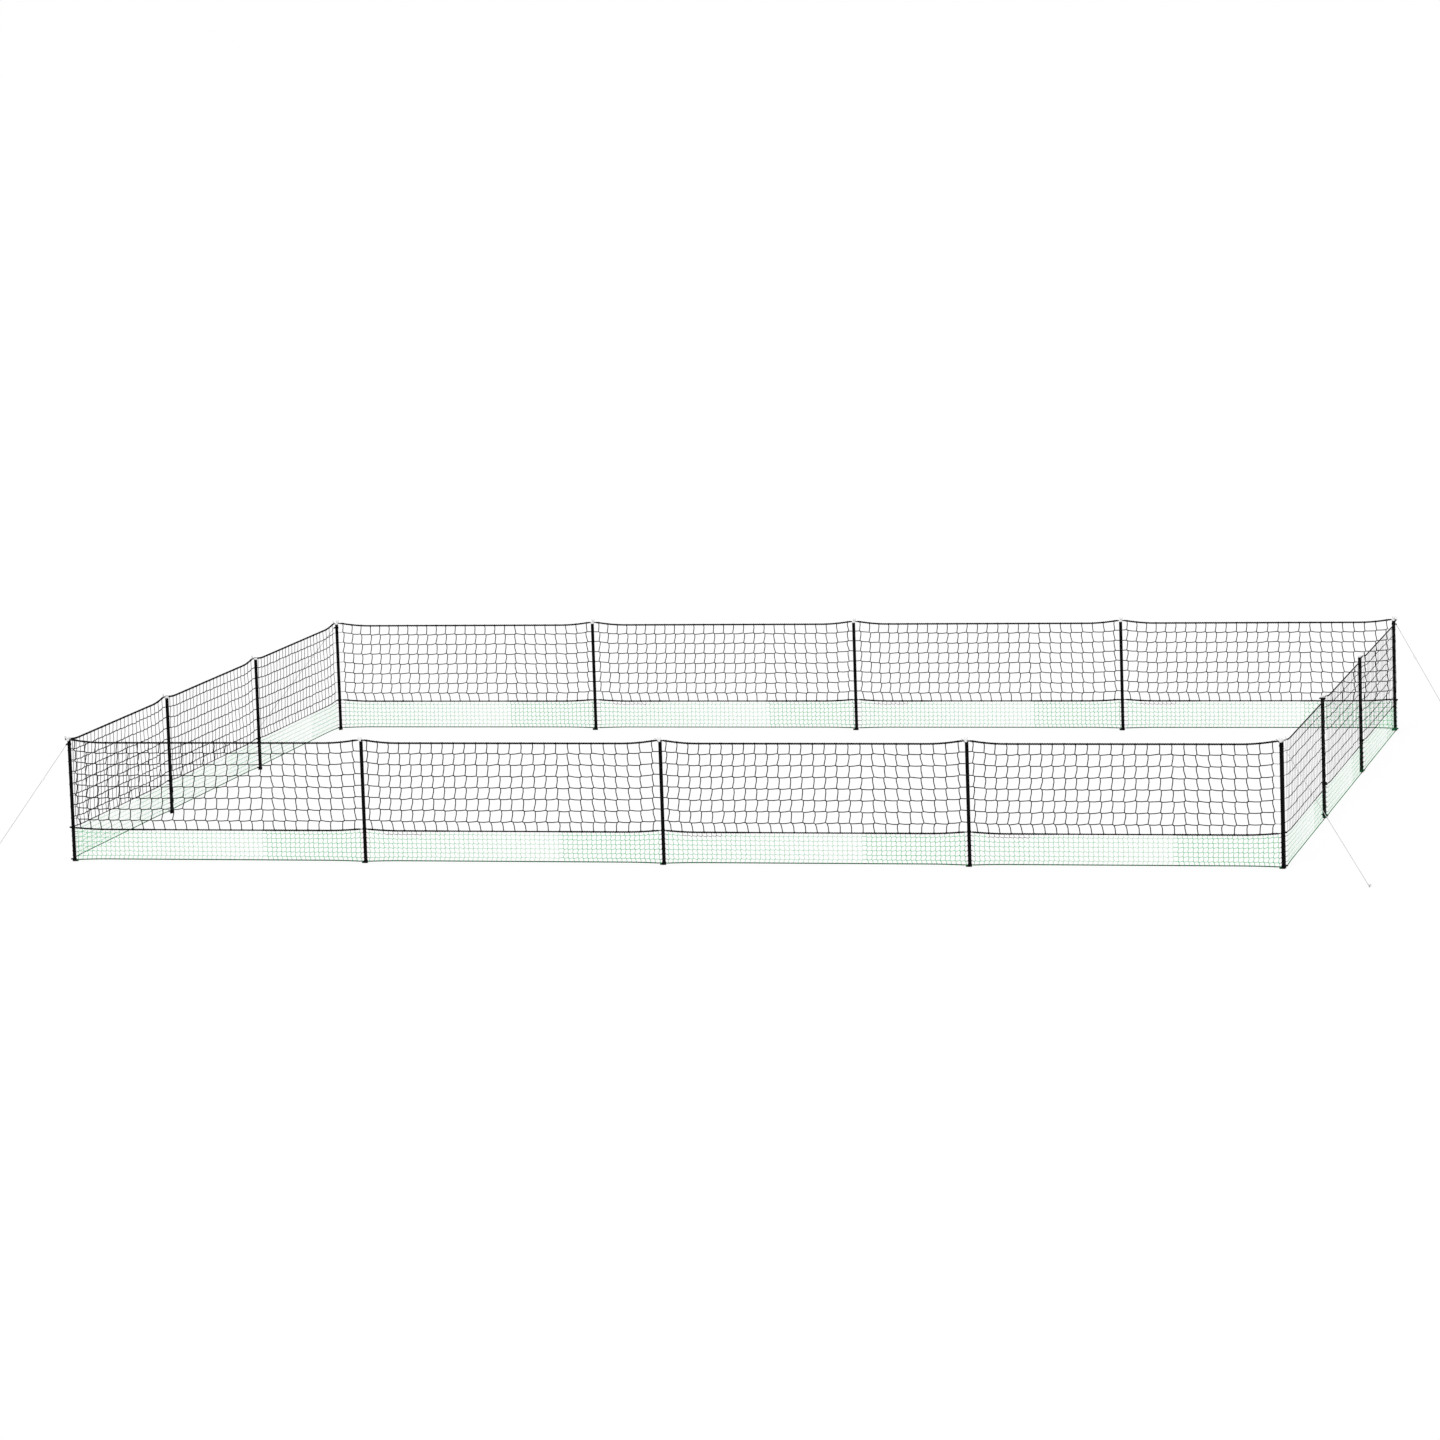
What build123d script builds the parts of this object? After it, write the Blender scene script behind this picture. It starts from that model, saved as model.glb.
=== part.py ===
from build123d import *
from math import atan, cos, radians, sin, sqrt
import os

# Poultry netting fence: a rectangular pen of net, hung on three ropes between push-in posts.
# Lengths are millimetres. +X runs along the front, +Y goes to the back, and z = 0 is at the spike tips.
# Heights of the posts, ropes and fittings are measured from the ground.

# Plan of the pen
post_pitch = 3125.0
front_panels = 4
side_panels = 3
end_post_gap = 50.0  # from the closing corner's post to the gate's end post

# Posts
post_radius = 18.0
post_wall = 2.5
post_height = 1256.0
plug_gap = 0.2  # round a plug in the tube's bore
sleeve_gap = 0.15  # between the tube and a ring round it

# Spikes
spike_depth = 200.0  # into the ground
spike_radius = 5.0
spike_point = 30.0
spike_tip_radius = 1.0
spike_shank_radius = 4.0  # the shank above the shoulder is held in the foot
spike_shank = 60.0
spike_gap = 0.05

# Ropes
top_rope_radius = 6.0
top_rope_drop = 30.0  # fall between the posts
middle_rope_radius = 4.5
middle_rope_height = 352.0
middle_rope_drop = 16.0
bottom_rope_radius = 4.0
bottom_rope_drop = -7.0  # this one rises between the posts
rope_bend_length = 380.0  # in which a rope goes from a post to its own level
rope_crest_share = 0.15  # part of that bend which is next to the post and curves the other way
rope_straight = 21.0  # on each side of a post
rope_tail = 15.0  # end left beyond the last post
rope_clearance = 2.0  # between the ropes and the widest fitting

# Middle clips, and the eyes that guide a rope along the outside of a post
clip_wall = 3.0
clip_height = 20.0
eye_wall = 3.0
eye_gap = 0.4
eye_length = 18.0
eye_rounding = 2.5

# Caps: a plug with a forked hook on the outside, which holds the top rope
cap_radius = 19.0
cap_head_height = 18.0
cap_rounding = 6.0
cap_plug_length = 35.0
hook_seat = 3.0  # height of the rope's saddle above the tube
hook_gap = 1.5
hook_thickness = 4.0
hook_top_width = 41.0
hook_bottom_width = 20.0
hook_prong_width = 10.0
hook_rise = 36.0  # prong tips above the rope's middle
hook_notch = 8.0  # bottom of the fork above the rope's middle
hook_skirt = 1.0  # plate below the tube's top

# Feet: a plug on the spike, with a tread for pushing it in and an eye for the bottom rope
foot_radius = 22.0
foot_height = 30.0
foot_plug_length = 70.0
foot_eye_margin = 1.0
tread_reach = 41.0
tread_width = 30.0
tread_thickness = 18.0

# Nets
net_seam = 1.0  # between the two nets, inside the middle rope
upper_end_gap = 72.0  # from a post's middle to the first strand
upper_columns = 25
upper_rows = 8
upper_twine = 5.0
lower_end_gap = 40.0
lower_columns = 42
lower_rows = 7
lower_twine = 4.0
lower_first_row = 31.0

# Gate: the last panel, whose rope ends loop round the post that it turns on
gate_loop_gap = 3.0
gate_loop_turn = 285.0

# Guy ropes at the corners, with the place of each peg from its post along X and Y
guy_rope_radius = 3.0
collar_wall = 3.5
collar_height = 20.0
collar_gap = 27.0  # below the hook's plate
socket_radius = 7.0
socket_reach = 12.0
knuckle_radius = 8.0  # ball where the socket turns down from its lug
peg_places = {
    "front_left": (-750.0, -750.0),
    "front_right": (970.0, -1040.0),
    "back_right": (700.0, 0.0),
    "back_left": (-1030.0, 0.0),
}
peg_radius = 4.0
peg_length = 190.0
peg_point = 24.0
peg_tip_radius = 1.0
peg_neck = 14.0
peg_hook_radius = 11.0
peg_hook_turn = 150.0
peg_lean = 20.0
peg_eye_height = 10.0
peg_eye_gap = 0.8
runner_place = 420.0  # along the rope from its socket
runner_length = 46.0
runner_width = 18.0
runner_thickness = 12.0
runner_rounding = 5.0
runner_gap = 0.5

# Values that follow from those above
ground = spike_depth
half_width = front_panels * post_pitch / 2
half_depth = side_panels * post_pitch / 2
bore_radius = post_radius - post_wall
tube_top = ground + post_height
clip_radius = post_radius + sleeve_gap + clip_wall
net_offset = max(clip_radius, foot_radius, cap_radius) + rope_clearance + top_rope_radius
corner_bend = net_offset / 2
top_rope_height = post_height + hook_seat + top_rope_radius
bottom_rope_height = foot_height - foot_eye_margin - eye_wall - bottom_rope_radius
guy_height = post_height - hook_skirt - collar_gap - collar_height / 2
collar_radius = post_radius + sleeve_gap + collar_wall
peg_ring_radius = peg_radius + peg_eye_gap + guy_rope_radius
UP = (Align.CENTER, Align.CENTER, Align.MIN)
VERTICAL = Vector(0, 0, 1)

# Each side starts at a corner and has the outside of the pen on its right: start, direction, panels
sides = {
    "front": (Vector(-half_width, -half_depth, 0), Vector(1, 0, 0), front_panels),
    "right": (Vector(half_width, -half_depth, 0), Vector(0, 1, 0), side_panels),
    "back": (Vector(half_width, half_depth, 0), Vector(-1, 0, 0), front_panels),
    "left": (Vector(-half_width, half_depth, 0), Vector(0, -1, 0), side_panels),
}
corner_names = {"front": "front_left", "right": "front_right", "back": "back_right", "left": "back_left"}

# Ropes: radius, height at the posts, fall between them, and height of the gate's loop at its turning post
ropes = {
    "top": (
        top_rope_radius,
        ground + top_rope_height,
        top_rope_drop,
        tube_top - hook_skirt - gate_loop_gap - top_rope_radius,
    ),
    "middle": (
        middle_rope_radius,
        ground + middle_rope_height,
        middle_rope_drop,
        ground + middle_rope_height + clip_height / 2 + gate_loop_gap + middle_rope_radius,
    ),
    "bottom": (
        bottom_rope_radius,
        ground + bottom_rope_height,
        bottom_rope_drop,
        ground + foot_height + gate_loop_gap + bottom_rope_radius,
    ),
}


# Places

def place(side, distance):
    """Frame of a post on a side: x runs along the side and y into the pen."""
    start, along, _ = sides[side]
    return Plane(origin=start + along * distance, x_dir=along, z_dir=VERTICAL).location


def on_net(side, distance, height):
    """Point on the plane that a side's ropes and nets share."""
    start, along, _ = sides[side]
    return start + along * distance + along.cross(VERTICAL) * net_offset + VERTICAL * height


# Posts and their fittings, each drawn round a post at the origin with the outside of the pen at -Y

def post_tube():
    wall = Circle(post_radius) - Circle(bore_radius)
    return Pos(0, 0, ground + foot_height) * extrude(wall, post_height - foot_height)


def rope_eye(rope_radius, height):
    """Block with a guide hole along X, from the post's middle to beyond the rope."""
    depth = net_offset + rope_radius + eye_wall
    size = 2 * (rope_radius + eye_wall)
    block = Plane.YZ * Pos(-depth / 2, height) * RectangleRounded(depth, size, eye_rounding)
    hole = Plane.YZ * Pos(-net_offset, height) * Circle(rope_radius + eye_gap)
    return extrude(block - hole, eye_length / 2, both=True)


def middle_clip(turns):
    """Ring on the tube with an eye on each side that it guides the middle rope along."""
    height = ground + middle_rope_height
    ring = Pos(0, 0, height - clip_height / 2) * Cylinder(clip_radius, clip_height, align=UP)
    for turn in turns:
        ring += Rot(0, 0, turn) * rope_eye(middle_rope_radius, height)
    return ring - Pos(0, 0, height) * Cylinder(post_radius + sleeve_gap, 2 * clip_height)


def fork_hook():
    """Saddle under the top rope, and a forked plate that stands up outside it."""
    inner = net_offset + top_rope_radius + hook_gap
    middle = ground + top_rope_height
    low, high = tube_top - hook_skirt, middle + hook_rise
    foot, tip = hook_bottom_width / 2, hook_top_width / 2
    outline = Polyline(
        (-foot, low),
        (foot, low),
        (tip, high),
        (tip - hook_prong_width, high),
        (0, middle + hook_notch),
        (hook_prong_width - tip, high),
        (-tip, high),
        close=True,
    )
    plate = Plane(origin=(0, -inner, 0), x_dir=(1, 0, 0), z_dir=(0, -1, 0)) * make_face(outline)
    saddle = Pos(0, -inner / 2, tube_top) * Box(hook_bottom_width, inner, hook_seat, align=UP)
    return extrude(plate, hook_thickness) + saddle


def post_cap(turns):
    """Plug and domed head on the tube, with a hook on each side that the top rope runs along."""
    plug = Cylinder(bore_radius - plug_gap, cap_plug_length, align=UP)
    head = Pos(0, 0, tube_top) * Cylinder(cap_radius, cap_head_height, align=UP)
    cap = fillet(head.faces().sort_by(Axis.Z)[-1].edges(), cap_rounding)
    cap += Pos(0, 0, tube_top - cap_plug_length) * plug
    for turn in turns:
        cap += Rot(0, 0, turn) * fork_hook()
    return cap


def post_foot(turns, tread_turn):
    """Boss on the ground with a plug in the tube, a tread on one side and the bottom rope's eyes."""
    boss = Pos(0, 0, ground) * Cylinder(foot_radius, foot_height, align=UP)
    plug = Pos(0, 0, ground + foot_height) * Cylinder(bore_radius - plug_gap, foot_plug_length, align=UP)
    straight = tread_reach - tread_width / 2
    tread = Pos(straight, 0) * Circle(tread_width / 2)
    tread += Pos(straight / 2, 0) * Rectangle(straight, tread_width)
    foot = boss + plug + Pos(0, 0, ground) * Rot(0, 0, tread_turn) * extrude(tread, tread_thickness)
    for turn in turns:
        foot += Rot(0, 0, turn) * rope_eye(bottom_rope_radius, ground + bottom_rope_height)
    return foot - Pos(0, 0, ground) * Cylinder(spike_shank_radius + spike_gap, spike_shank, align=UP)


def ground_spike():
    """Pointed rod up to a shoulder under the foot, and a thinner shank in the foot's socket."""
    point = Cone(spike_tip_radius, spike_radius, spike_point, align=UP)
    rod = Pos(0, 0, spike_point) * Cylinder(spike_radius, spike_depth - spike_point, align=UP)
    shank = Pos(0, 0, spike_depth) * Cylinder(spike_shank_radius, spike_shank, align=UP)
    return point + rod + shank


# Ropes

def bend(drop):
    """Angle and the two radii of a rope's fall beside a post."""
    angle = 2 * atan(abs(drop) / rope_bend_length)
    both = rope_bend_length / sin(angle)
    return angle, rope_crest_share * both, (1 - rope_crest_share) * both


def rise(distance, drop):
    """Height of a rope over its own level, at a distance from a post where it stands drop higher."""
    angle, crest, trough = bend(drop)
    run = distance - rope_straight
    sign = 1 if drop > 0 else -1
    if run <= 0:
        return drop
    if run <= crest * sin(angle):
        return drop - sign * (crest - sqrt(crest**2 - run**2))
    if run < rope_bend_length:
        return sign * (trough - sqrt(trough**2 - (rope_bend_length - run) ** 2))
    return 0.0


class RopeSpan:
    """A rope along one panel, between two posts of a side."""

    def __init__(self, side, first, last, first_height, level, last_height):
        self.side = side
        self.first, self.last = first, last
        self.first_drop, self.level, self.last_drop = first_height - level, level, last_height - level

    def height(self, distance):
        if distance - self.first < self.last - distance:
            return self.level + rise(distance - self.first, self.first_drop)
        return self.level + rise(self.last - distance, self.last_drop)

    def point(self, distance):
        return on_net(self.side, distance, self.height(distance))

    def fall(self, post, drop, toward):
        """Straight stretch and the two arcs from a post to the rope's own level."""
        angle, crest, trough = bend(drop)
        stops = [0, rope_straight]
        stops.append(rope_straight + crest * sin(angle / 2))
        stops.append(rope_straight + crest * sin(angle))
        stops.append(rope_straight + rope_bend_length - trough * sin(angle / 2))
        stops.append(rope_straight + rope_bend_length)
        points = [self.point(post + toward * stop) for stop in stops]
        straight = Edge.make_line(points[0], points[1])
        return [straight, Edge.make_three_point_arc(*points[1:4]), Edge.make_three_point_arc(*points[3:6])]

    def edges(self):
        level_start = self.first + rope_straight + rope_bend_length
        level_end = self.last - rope_straight - rope_bend_length
        down = self.fall(self.first, self.first_drop, 1)
        up = self.fall(self.last, self.last_drop, -1)
        return down + [Edge.make_line(self.point(level_start), self.point(level_end))] + up[::-1]


def round_bar(edges, radius):
    """Round bar along a path of tangent lines and arcs."""
    path = Wire(edges)
    section = Plane(origin=path.position_at(0), z_dir=path.tangent_at(0)) * Circle(radius)
    return sweep(section, path=path)


def fence_span(level, side, panel):
    _, height, drop, _ = ropes[level]
    return RopeSpan(side, panel * post_pitch, (panel + 1) * post_pitch, height, height - drop, height)


def gate_span(level):
    _, height, drop, loop_height = ropes[level]
    return RopeSpan("right", end_post_gap, post_pitch, height, height - drop, loop_height)


def corner_edges(before, side, height):
    """Turn of a rope round the corner post between two sides."""
    start, along, _ = sides[side]
    outward = along.cross(VERTICAL)
    length = sides[before][2] * post_pitch
    leave = on_net(before, length + corner_bend, height)
    arrive = on_net(side, -corner_bend, height)
    centre = start + (outward - along) * corner_bend + VERTICAL * height
    middle = centre + (outward - along).normalized() * (net_offset - corner_bend)
    return [
        Edge.make_line(on_net(before, length, height), leave),
        Edge.make_three_point_arc(leave, middle, arrive),
        Edge.make_line(arrive, on_net(side, 0, height)),
    ]


def fence_rope(level):
    """A rope round the pen, from the post that the gate turns on to the closing corner."""
    radius, height, _, _ = ropes[level]
    start = on_net("right", post_pitch - rope_tail, height)
    edges = [Edge.make_line(start, on_net("right", post_pitch, height))]
    before = None
    for side in ("right", "back", "left", "front"):
        if before:
            edges += corner_edges(before, side, height)
        for panel in range(0 if before else 1, sides[side][2]):
            edges += fence_span(level, side, panel).edges()
        before = side
    end = front_panels * post_pitch
    edges.append(Edge.make_line(on_net("front", end, height), on_net("front", end + rope_tail, height)))
    return round_bar(edges, radius)


def gate_rope(level):
    """A rope of the gate, from its end post to a loop round the post that it turns on."""
    radius, height, _, loop_height = ropes[level]
    start = on_net("right", end_post_gap - rope_tail, height)
    edges = [Edge.make_line(start, on_net("right", end_post_gap, height))] + gate_span(level).edges()
    centre = Vector(half_width, post_pitch - half_depth, loop_height)
    arcs = 3
    turns = [radians(gate_loop_turn * step / (2 * arcs)) for step in range(2 * arcs + 1)]
    points = [centre + Vector(cos(turn), sin(turn), 0) * net_offset for turn in turns]
    for step in range(arcs):
        edges.append(Edge.make_three_point_arc(*points[2 * step : 2 * step + 3]))
    return round_bar(edges, radius)


# Nets

def net_panel(upper, lower, end_gap, columns, row_shares, twine):
    """Flat net between two ropes: one holed face, as thick as its twine."""
    first, last = upper.first + end_gap, upper.last - end_gap
    half = twine / 2
    lines = [first + (last - first) * column / columns for column in range(columns + 1)]

    def knot(line, share):
        low, high = lower.height(line), upper.height(line)
        return low + (high - low) * share(high - low)

    def corner(line, height):
        return on_net(upper.side, line, height)

    top = [corner(line, upper.height(line) - net_seam / 2) for line in lines]
    base = [corner(line, lower.height(line) + net_seam / 2) for line in lines]
    along = sides[upper.side][1] * half
    base[0], top[0] = base[0] - along, top[0] - along
    base[-1], top[-1] = base[-1] + along, top[-1] + along
    gaps = []
    for left, right in zip(lines, lines[1:]):
        for under, over in zip(row_shares, row_shares[1:]):
            gaps.append(
                Wire.make_polygon(
                    [
                        corner(left + half, knot(left, under) + half),
                        corner(right - half, knot(right, under) + half),
                        corner(right - half, knot(right, over) - half),
                        corner(left + half, knot(left, over) - half),
                    ]
                )
            )
    face = Face(Wire.make_polygon(base + top[::-1]), gaps)
    thickness = sides[upper.side][1].cross(VERTICAL) * twine
    return Solid.extrude(face, thickness).moved(Location(thickness * -0.5))


def upper_net(top_span, middle_span):
    shares = [lambda height, row=row: row / upper_rows for row in range(upper_rows + 1)]
    return net_panel(top_span, middle_span, upper_end_gap, upper_columns, shares, upper_twine)


def lower_net(middle_span, bottom_span):
    """Fine net, whose top row of gaps is lower than the others."""
    rest = lower_rows - 1

    def share(row):
        return lambda height: row / rest * (1 - lower_first_row / height)

    shares = [share(row) for row in range(lower_rows)]
    shares.append(lambda height: 1.0)
    return net_panel(middle_span, bottom_span, lower_end_gap, lower_columns, shares, lower_twine)


# Guy ropes

class Guy:
    """A guy rope from a corner post's collar to its peg."""

    def __init__(self, post, offset):
        self.middle = post + VERTICAL * (ground + guy_height)
        self.eye = post + Vector(*offset) + VERTICAL * (ground + peg_eye_height)
        self.outward = Vector(*offset).normalized()
        self.top = self.middle + self.outward * (collar_radius + socket_radius)
        self.down = self.outward * -sin(radians(peg_lean)) - VERTICAL * cos(radians(peg_lean))
        self.away = (self.outward - self.down * self.outward.dot(self.down)).normalized()
        self.end = self.eye - self.away * peg_ring_radius
        self.along = (self.end - self.top).normalized()
        self.start = self.top + self.along * socket_reach
        self.runner = self.start + self.along * runner_place

    def collar(self):
        """Ring on the tube with a lug, and a socket at its end that points along the rope."""
        ring = Pos(self.middle) * Cylinder(collar_radius, collar_height)
        reach = collar_radius + socket_radius
        lug = Plane(origin=self.middle, z_dir=self.outward) * Cylinder(socket_radius, reach, align=UP)
        socket = Plane(origin=self.top, z_dir=self.along) * Cylinder(socket_radius, socket_reach, align=UP)
        collar = ring + lug + Pos(self.top) * Sphere(knuckle_radius) + socket
        return collar - Pos(self.middle) * Cylinder(post_radius + sleeve_gap, 2 * collar_height)

    def rope(self):
        """Straight rope with an eye round its peg."""
        length = (self.end - self.start).length
        run = Plane(origin=self.start, z_dir=self.along) * Cylinder(guy_rope_radius, length, align=UP)
        return run + Plane(origin=self.eye, z_dir=self.down) * Torus(peg_ring_radius, guy_rope_radius)

    def peg(self):
        """Pointed steel rod, driven in, with its head bent over away from the fence."""
        low = self.eye + self.down * (peg_length - peg_point)
        high = self.eye - self.down * peg_neck
        centre = high + self.away * peg_hook_radius

        def hook(turn):
            swing = radians(peg_hook_turn * turn)
            return centre - (self.away * cos(swing) + self.down * sin(swing)) * peg_hook_radius

        bent = Edge.make_three_point_arc(high, hook(0.5), hook(1))
        rod = round_bar([Edge.make_line(low, high), bent], peg_radius)
        point = Cone(peg_radius, peg_tip_radius, peg_point, align=UP)
        return rod + Plane(origin=low, z_dir=self.down) * point

    def slider(self):
        """Moulded runner that slides on the rope."""
        outline = RectangleRounded(runner_width, runner_thickness, runner_rounding)
        bored = extrude(outline - Circle(guy_rope_radius + runner_gap), runner_length / 2, both=True)
        return Plane(origin=self.runner, z_dir=self.along) * bored


guys = {}
for side_name, corner_name in corner_names.items():
    guys[corner_name] = Guy(sides[side_name][0], peg_places[corner_name])


# Assembly: every node is a list of solids

OWN, BEFORE = 0, -90  # an eye or hook on the post's own side, and one on the side that ends at it
nodes = {name: [] for name in ("post_caps", "middle_rope_clips", "post_feet", "ground_spikes")}

for side, (start, along, panels) in sides.items():
    for number in range(panels):
        corner = number == 0
        name = f"{corner_names[side]}_corner_post" if corner else f"{side}_post_{number}"
        turns = [OWN, BEFORE] if corner else [OWN]
        tread_turn = 0 if corner or side != "front" else 180
        if corner and side == "right":
            turns, tread_turn = [BEFORE], 90
        at = place(side, number * post_pitch)
        nodes[name] = [at * post_tube()]
        nodes["post_caps"].append(at * post_cap(turns))
        nodes["middle_rope_clips"].append(at * middle_clip(turns))
        nodes["post_feet"].append(at * post_foot(turns, tread_turn))
        nodes["ground_spikes"].append(at * ground_spike())

at = place("right", end_post_gap)
nodes["gate_end_post"] = [at * post_tube()]
nodes["gate_post_cap"] = [at * post_cap([OWN])]
nodes["gate_rope_clip"] = [at * middle_clip([OWN])]
nodes["gate_post_foot"] = [at * post_foot([OWN], 0)]
nodes["gate_ground_spike"] = [at * ground_spike()]

for level in ropes:
    nodes[f"{level}_rope"] = [fence_rope(level)]
    nodes[f"gate_{level}_rope"] = [gate_rope(level)]

first_upper = upper_net(fence_span("top", "front", 0), fence_span("middle", "front", 0))
first_lower = lower_net(fence_span("middle", "front", 0), fence_span("bottom", "front", 0))
to_first = place("front", 0).inverse()
for side, (start, along, panels) in sides.items():
    first_panel = 1 if side == "right" else 0
    moves = [place(side, panel * post_pitch) * to_first for panel in range(first_panel, panels)]
    nodes[f"{side}_upper_net"] = [move * first_upper for move in moves]
    nodes[f"{side}_lower_net"] = [move * first_lower for move in moves]
nodes["gate_upper_net"] = [upper_net(gate_span("top"), gate_span("middle"))]
nodes["gate_lower_net"] = [lower_net(gate_span("middle"), gate_span("bottom"))]

nodes["guy_collars"] = [guy.collar() for guy in guys.values()]
for corner_name, guy in guys.items():
    nodes[f"{corner_name}_guy_rope"] = [guy.rope()]
    nodes[f"{corner_name}_guy_peg"] = [guy.peg()]
    nodes[f"{corner_name}_guy_runner"] = [guy.slider()]

os.makedirs("parts", exist_ok=True)
for name, solids in nodes.items():
    export_step(solids[0] if len(solids) == 1 else Compound(children=solids), f"parts/{name}.step")
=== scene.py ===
from math import atan, cos, pi, radians, sin, sqrt, tau
from random import Random

import bpy
from bpy.props import FloatProperty, FloatVectorProperty, IntProperty, PointerProperty
from mathutils import Matrix, Vector


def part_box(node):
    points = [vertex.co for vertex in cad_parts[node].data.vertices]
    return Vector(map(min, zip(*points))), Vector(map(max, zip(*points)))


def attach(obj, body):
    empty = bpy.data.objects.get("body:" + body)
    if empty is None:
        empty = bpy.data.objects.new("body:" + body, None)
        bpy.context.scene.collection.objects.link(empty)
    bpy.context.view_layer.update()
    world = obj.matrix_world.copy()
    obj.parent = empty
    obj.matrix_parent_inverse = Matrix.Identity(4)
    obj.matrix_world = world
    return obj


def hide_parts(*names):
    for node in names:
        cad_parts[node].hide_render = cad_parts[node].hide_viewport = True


bl_info = {
    "name": "Poultry netting fence",
    "version": (1, 0, 0),
    "blender": (4, 5, 0),
    "location": "3D View > Sidebar > Netting fence",
    "description": "Nets, ropes and finishes of a guyed poultry netting pen",
    "category": "Object",
}

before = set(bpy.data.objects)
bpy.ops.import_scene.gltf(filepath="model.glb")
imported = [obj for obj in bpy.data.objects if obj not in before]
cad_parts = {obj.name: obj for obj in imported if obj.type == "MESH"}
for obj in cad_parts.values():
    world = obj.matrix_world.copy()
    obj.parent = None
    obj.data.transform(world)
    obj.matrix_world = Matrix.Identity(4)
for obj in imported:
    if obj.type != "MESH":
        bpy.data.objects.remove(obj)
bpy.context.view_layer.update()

UP = Vector((0, 0, 1))
LEVELS = ("top", "middle", "bottom")


# Layout of the pen, read from the frame

def middle_of(node):
    """Middle of a node's box in plan."""
    low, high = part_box(node)
    return Vector(((low.x + high.x) / 2, (low.y + high.y) / 2, 0))


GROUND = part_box("post_feet")[0].z
TUBE_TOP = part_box("front_post_1")[1].z
FRONT_LEFT = middle_of("front_left_corner_post")
PITCH = (middle_of("front_post_1") - FRONT_LEFT).length
POST_RADIUS = (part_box("front_post_1")[1].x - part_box("front_post_1")[0].x) / 2
NET_OFFSET = FRONT_LEFT.y - middle_of("front_upper_net").y
GATE_GAP = (middle_of("gate_end_post") - middle_of("front_right_corner_post")).length
HINGE = middle_of("right_post_1")

# Course of a rope beside a post, as the solids have it
BEND_LENGTH = 0.38
CREST_SHARE = 0.15
STRAIGHT = 0.021
ROPE_TAIL = 0.015
LOOP_DROP = 0.004  # of the gate's top loop below the tube's top
CORNER_BEND = NET_OFFSET / 2


class Side:
    """One side of the pen, with the outside on its right."""

    def __init__(self, name, first_corner, last_corner):
        self.name = name
        self.start, end = middle_of(f"{first_corner}_corner_post"), middle_of(f"{last_corner}_corner_post")
        self.along = (end - self.start).normalized()
        self.outward = self.along.cross(UP)
        self.length = (end - self.start).length
        self.panels = round(self.length / PITCH)
        self.forward = self.along.x + self.along.y > 0

    def at(self, distance, height, out=0.0):
        """Point on the plane of the ropes and nets, or a little outside it."""
        flat = self.start + self.along * distance + self.outward * (NET_OFFSET + out)
        return flat + UP * height


SIDES = {
    "right": Side("right", "front_right", "back_right"),
    "back": Side("back", "back_right", "back_left"),
    "left": Side("left", "back_left", "front_left"),
    "front": Side("front", "front_left", "front_right"),
}
ORDER = list(SIDES)


class RopeLevel:
    """Heights of one of the three ropes: at the posts, between them, and at the gate's loop."""

    def __init__(self, level):
        low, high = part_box(f"{level}_rope")
        gate_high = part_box(f"gate_{level}_rope")[1]
        loop_top = TUBE_TOP - LOOP_DROP if level == "top" else gate_high.z
        self.radius = FRONT_LEFT.y - NET_OFFSET - low.y
        self.post, self.between = high.z - self.radius, low.z + self.radius
        self.loop = loop_top - self.radius
        if level == "bottom":
            self.post, self.between = self.between, self.post


ROPES = {level: RopeLevel(level) for level in LEVELS}


def rise(distance, drop):
    """Height of a rope over its own level, at a distance from a post where it stands drop higher."""
    angle = 2 * atan(abs(drop) / BEND_LENGTH)
    both = BEND_LENGTH / sin(angle)
    crest, trough = CREST_SHARE * both, (1 - CREST_SHARE) * both
    run = distance - STRAIGHT
    sign = 1 if drop > 0 else -1
    if run <= 0:
        return drop
    if run <= crest * sin(angle):
        return drop - sign * (crest - sqrt(crest**2 - run**2))
    if run < BEND_LENGTH:
        return sign * (trough - sqrt(trough**2 - (BEND_LENGTH - run) ** 2))
    return 0.0


# Looks along a bay, at shares of its length that are counted towards +X or +Y

SLANT_TURNS = 0.66  # the nets' slant is mirrored from here on
THIN_STRETCH = (0.28, 0.66)  # where the middle rope is thinner
THIN_GIRTH = 0.82  # of its thickness elsewhere
FITTED_REACH = STRAIGHT + 0.005  # from a post's middle, where the fittings press a rope together
FITTED_GIRTH = 0.9  # of its solid's thickness
GIRTHS = {  # thickness of the ropes on each side, as a share of their solids'
    "top": {"front": 1.6, "right": 1.0, "back": 1.6, "left": 1.5},
    "middle": {"front": 1.95, "right": 0.95, "back": 1.95, "left": 1.1},
    "bottom": {"front": 1.35, "right": 0.9, "back": 1.35, "left": 1.0},
}


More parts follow.
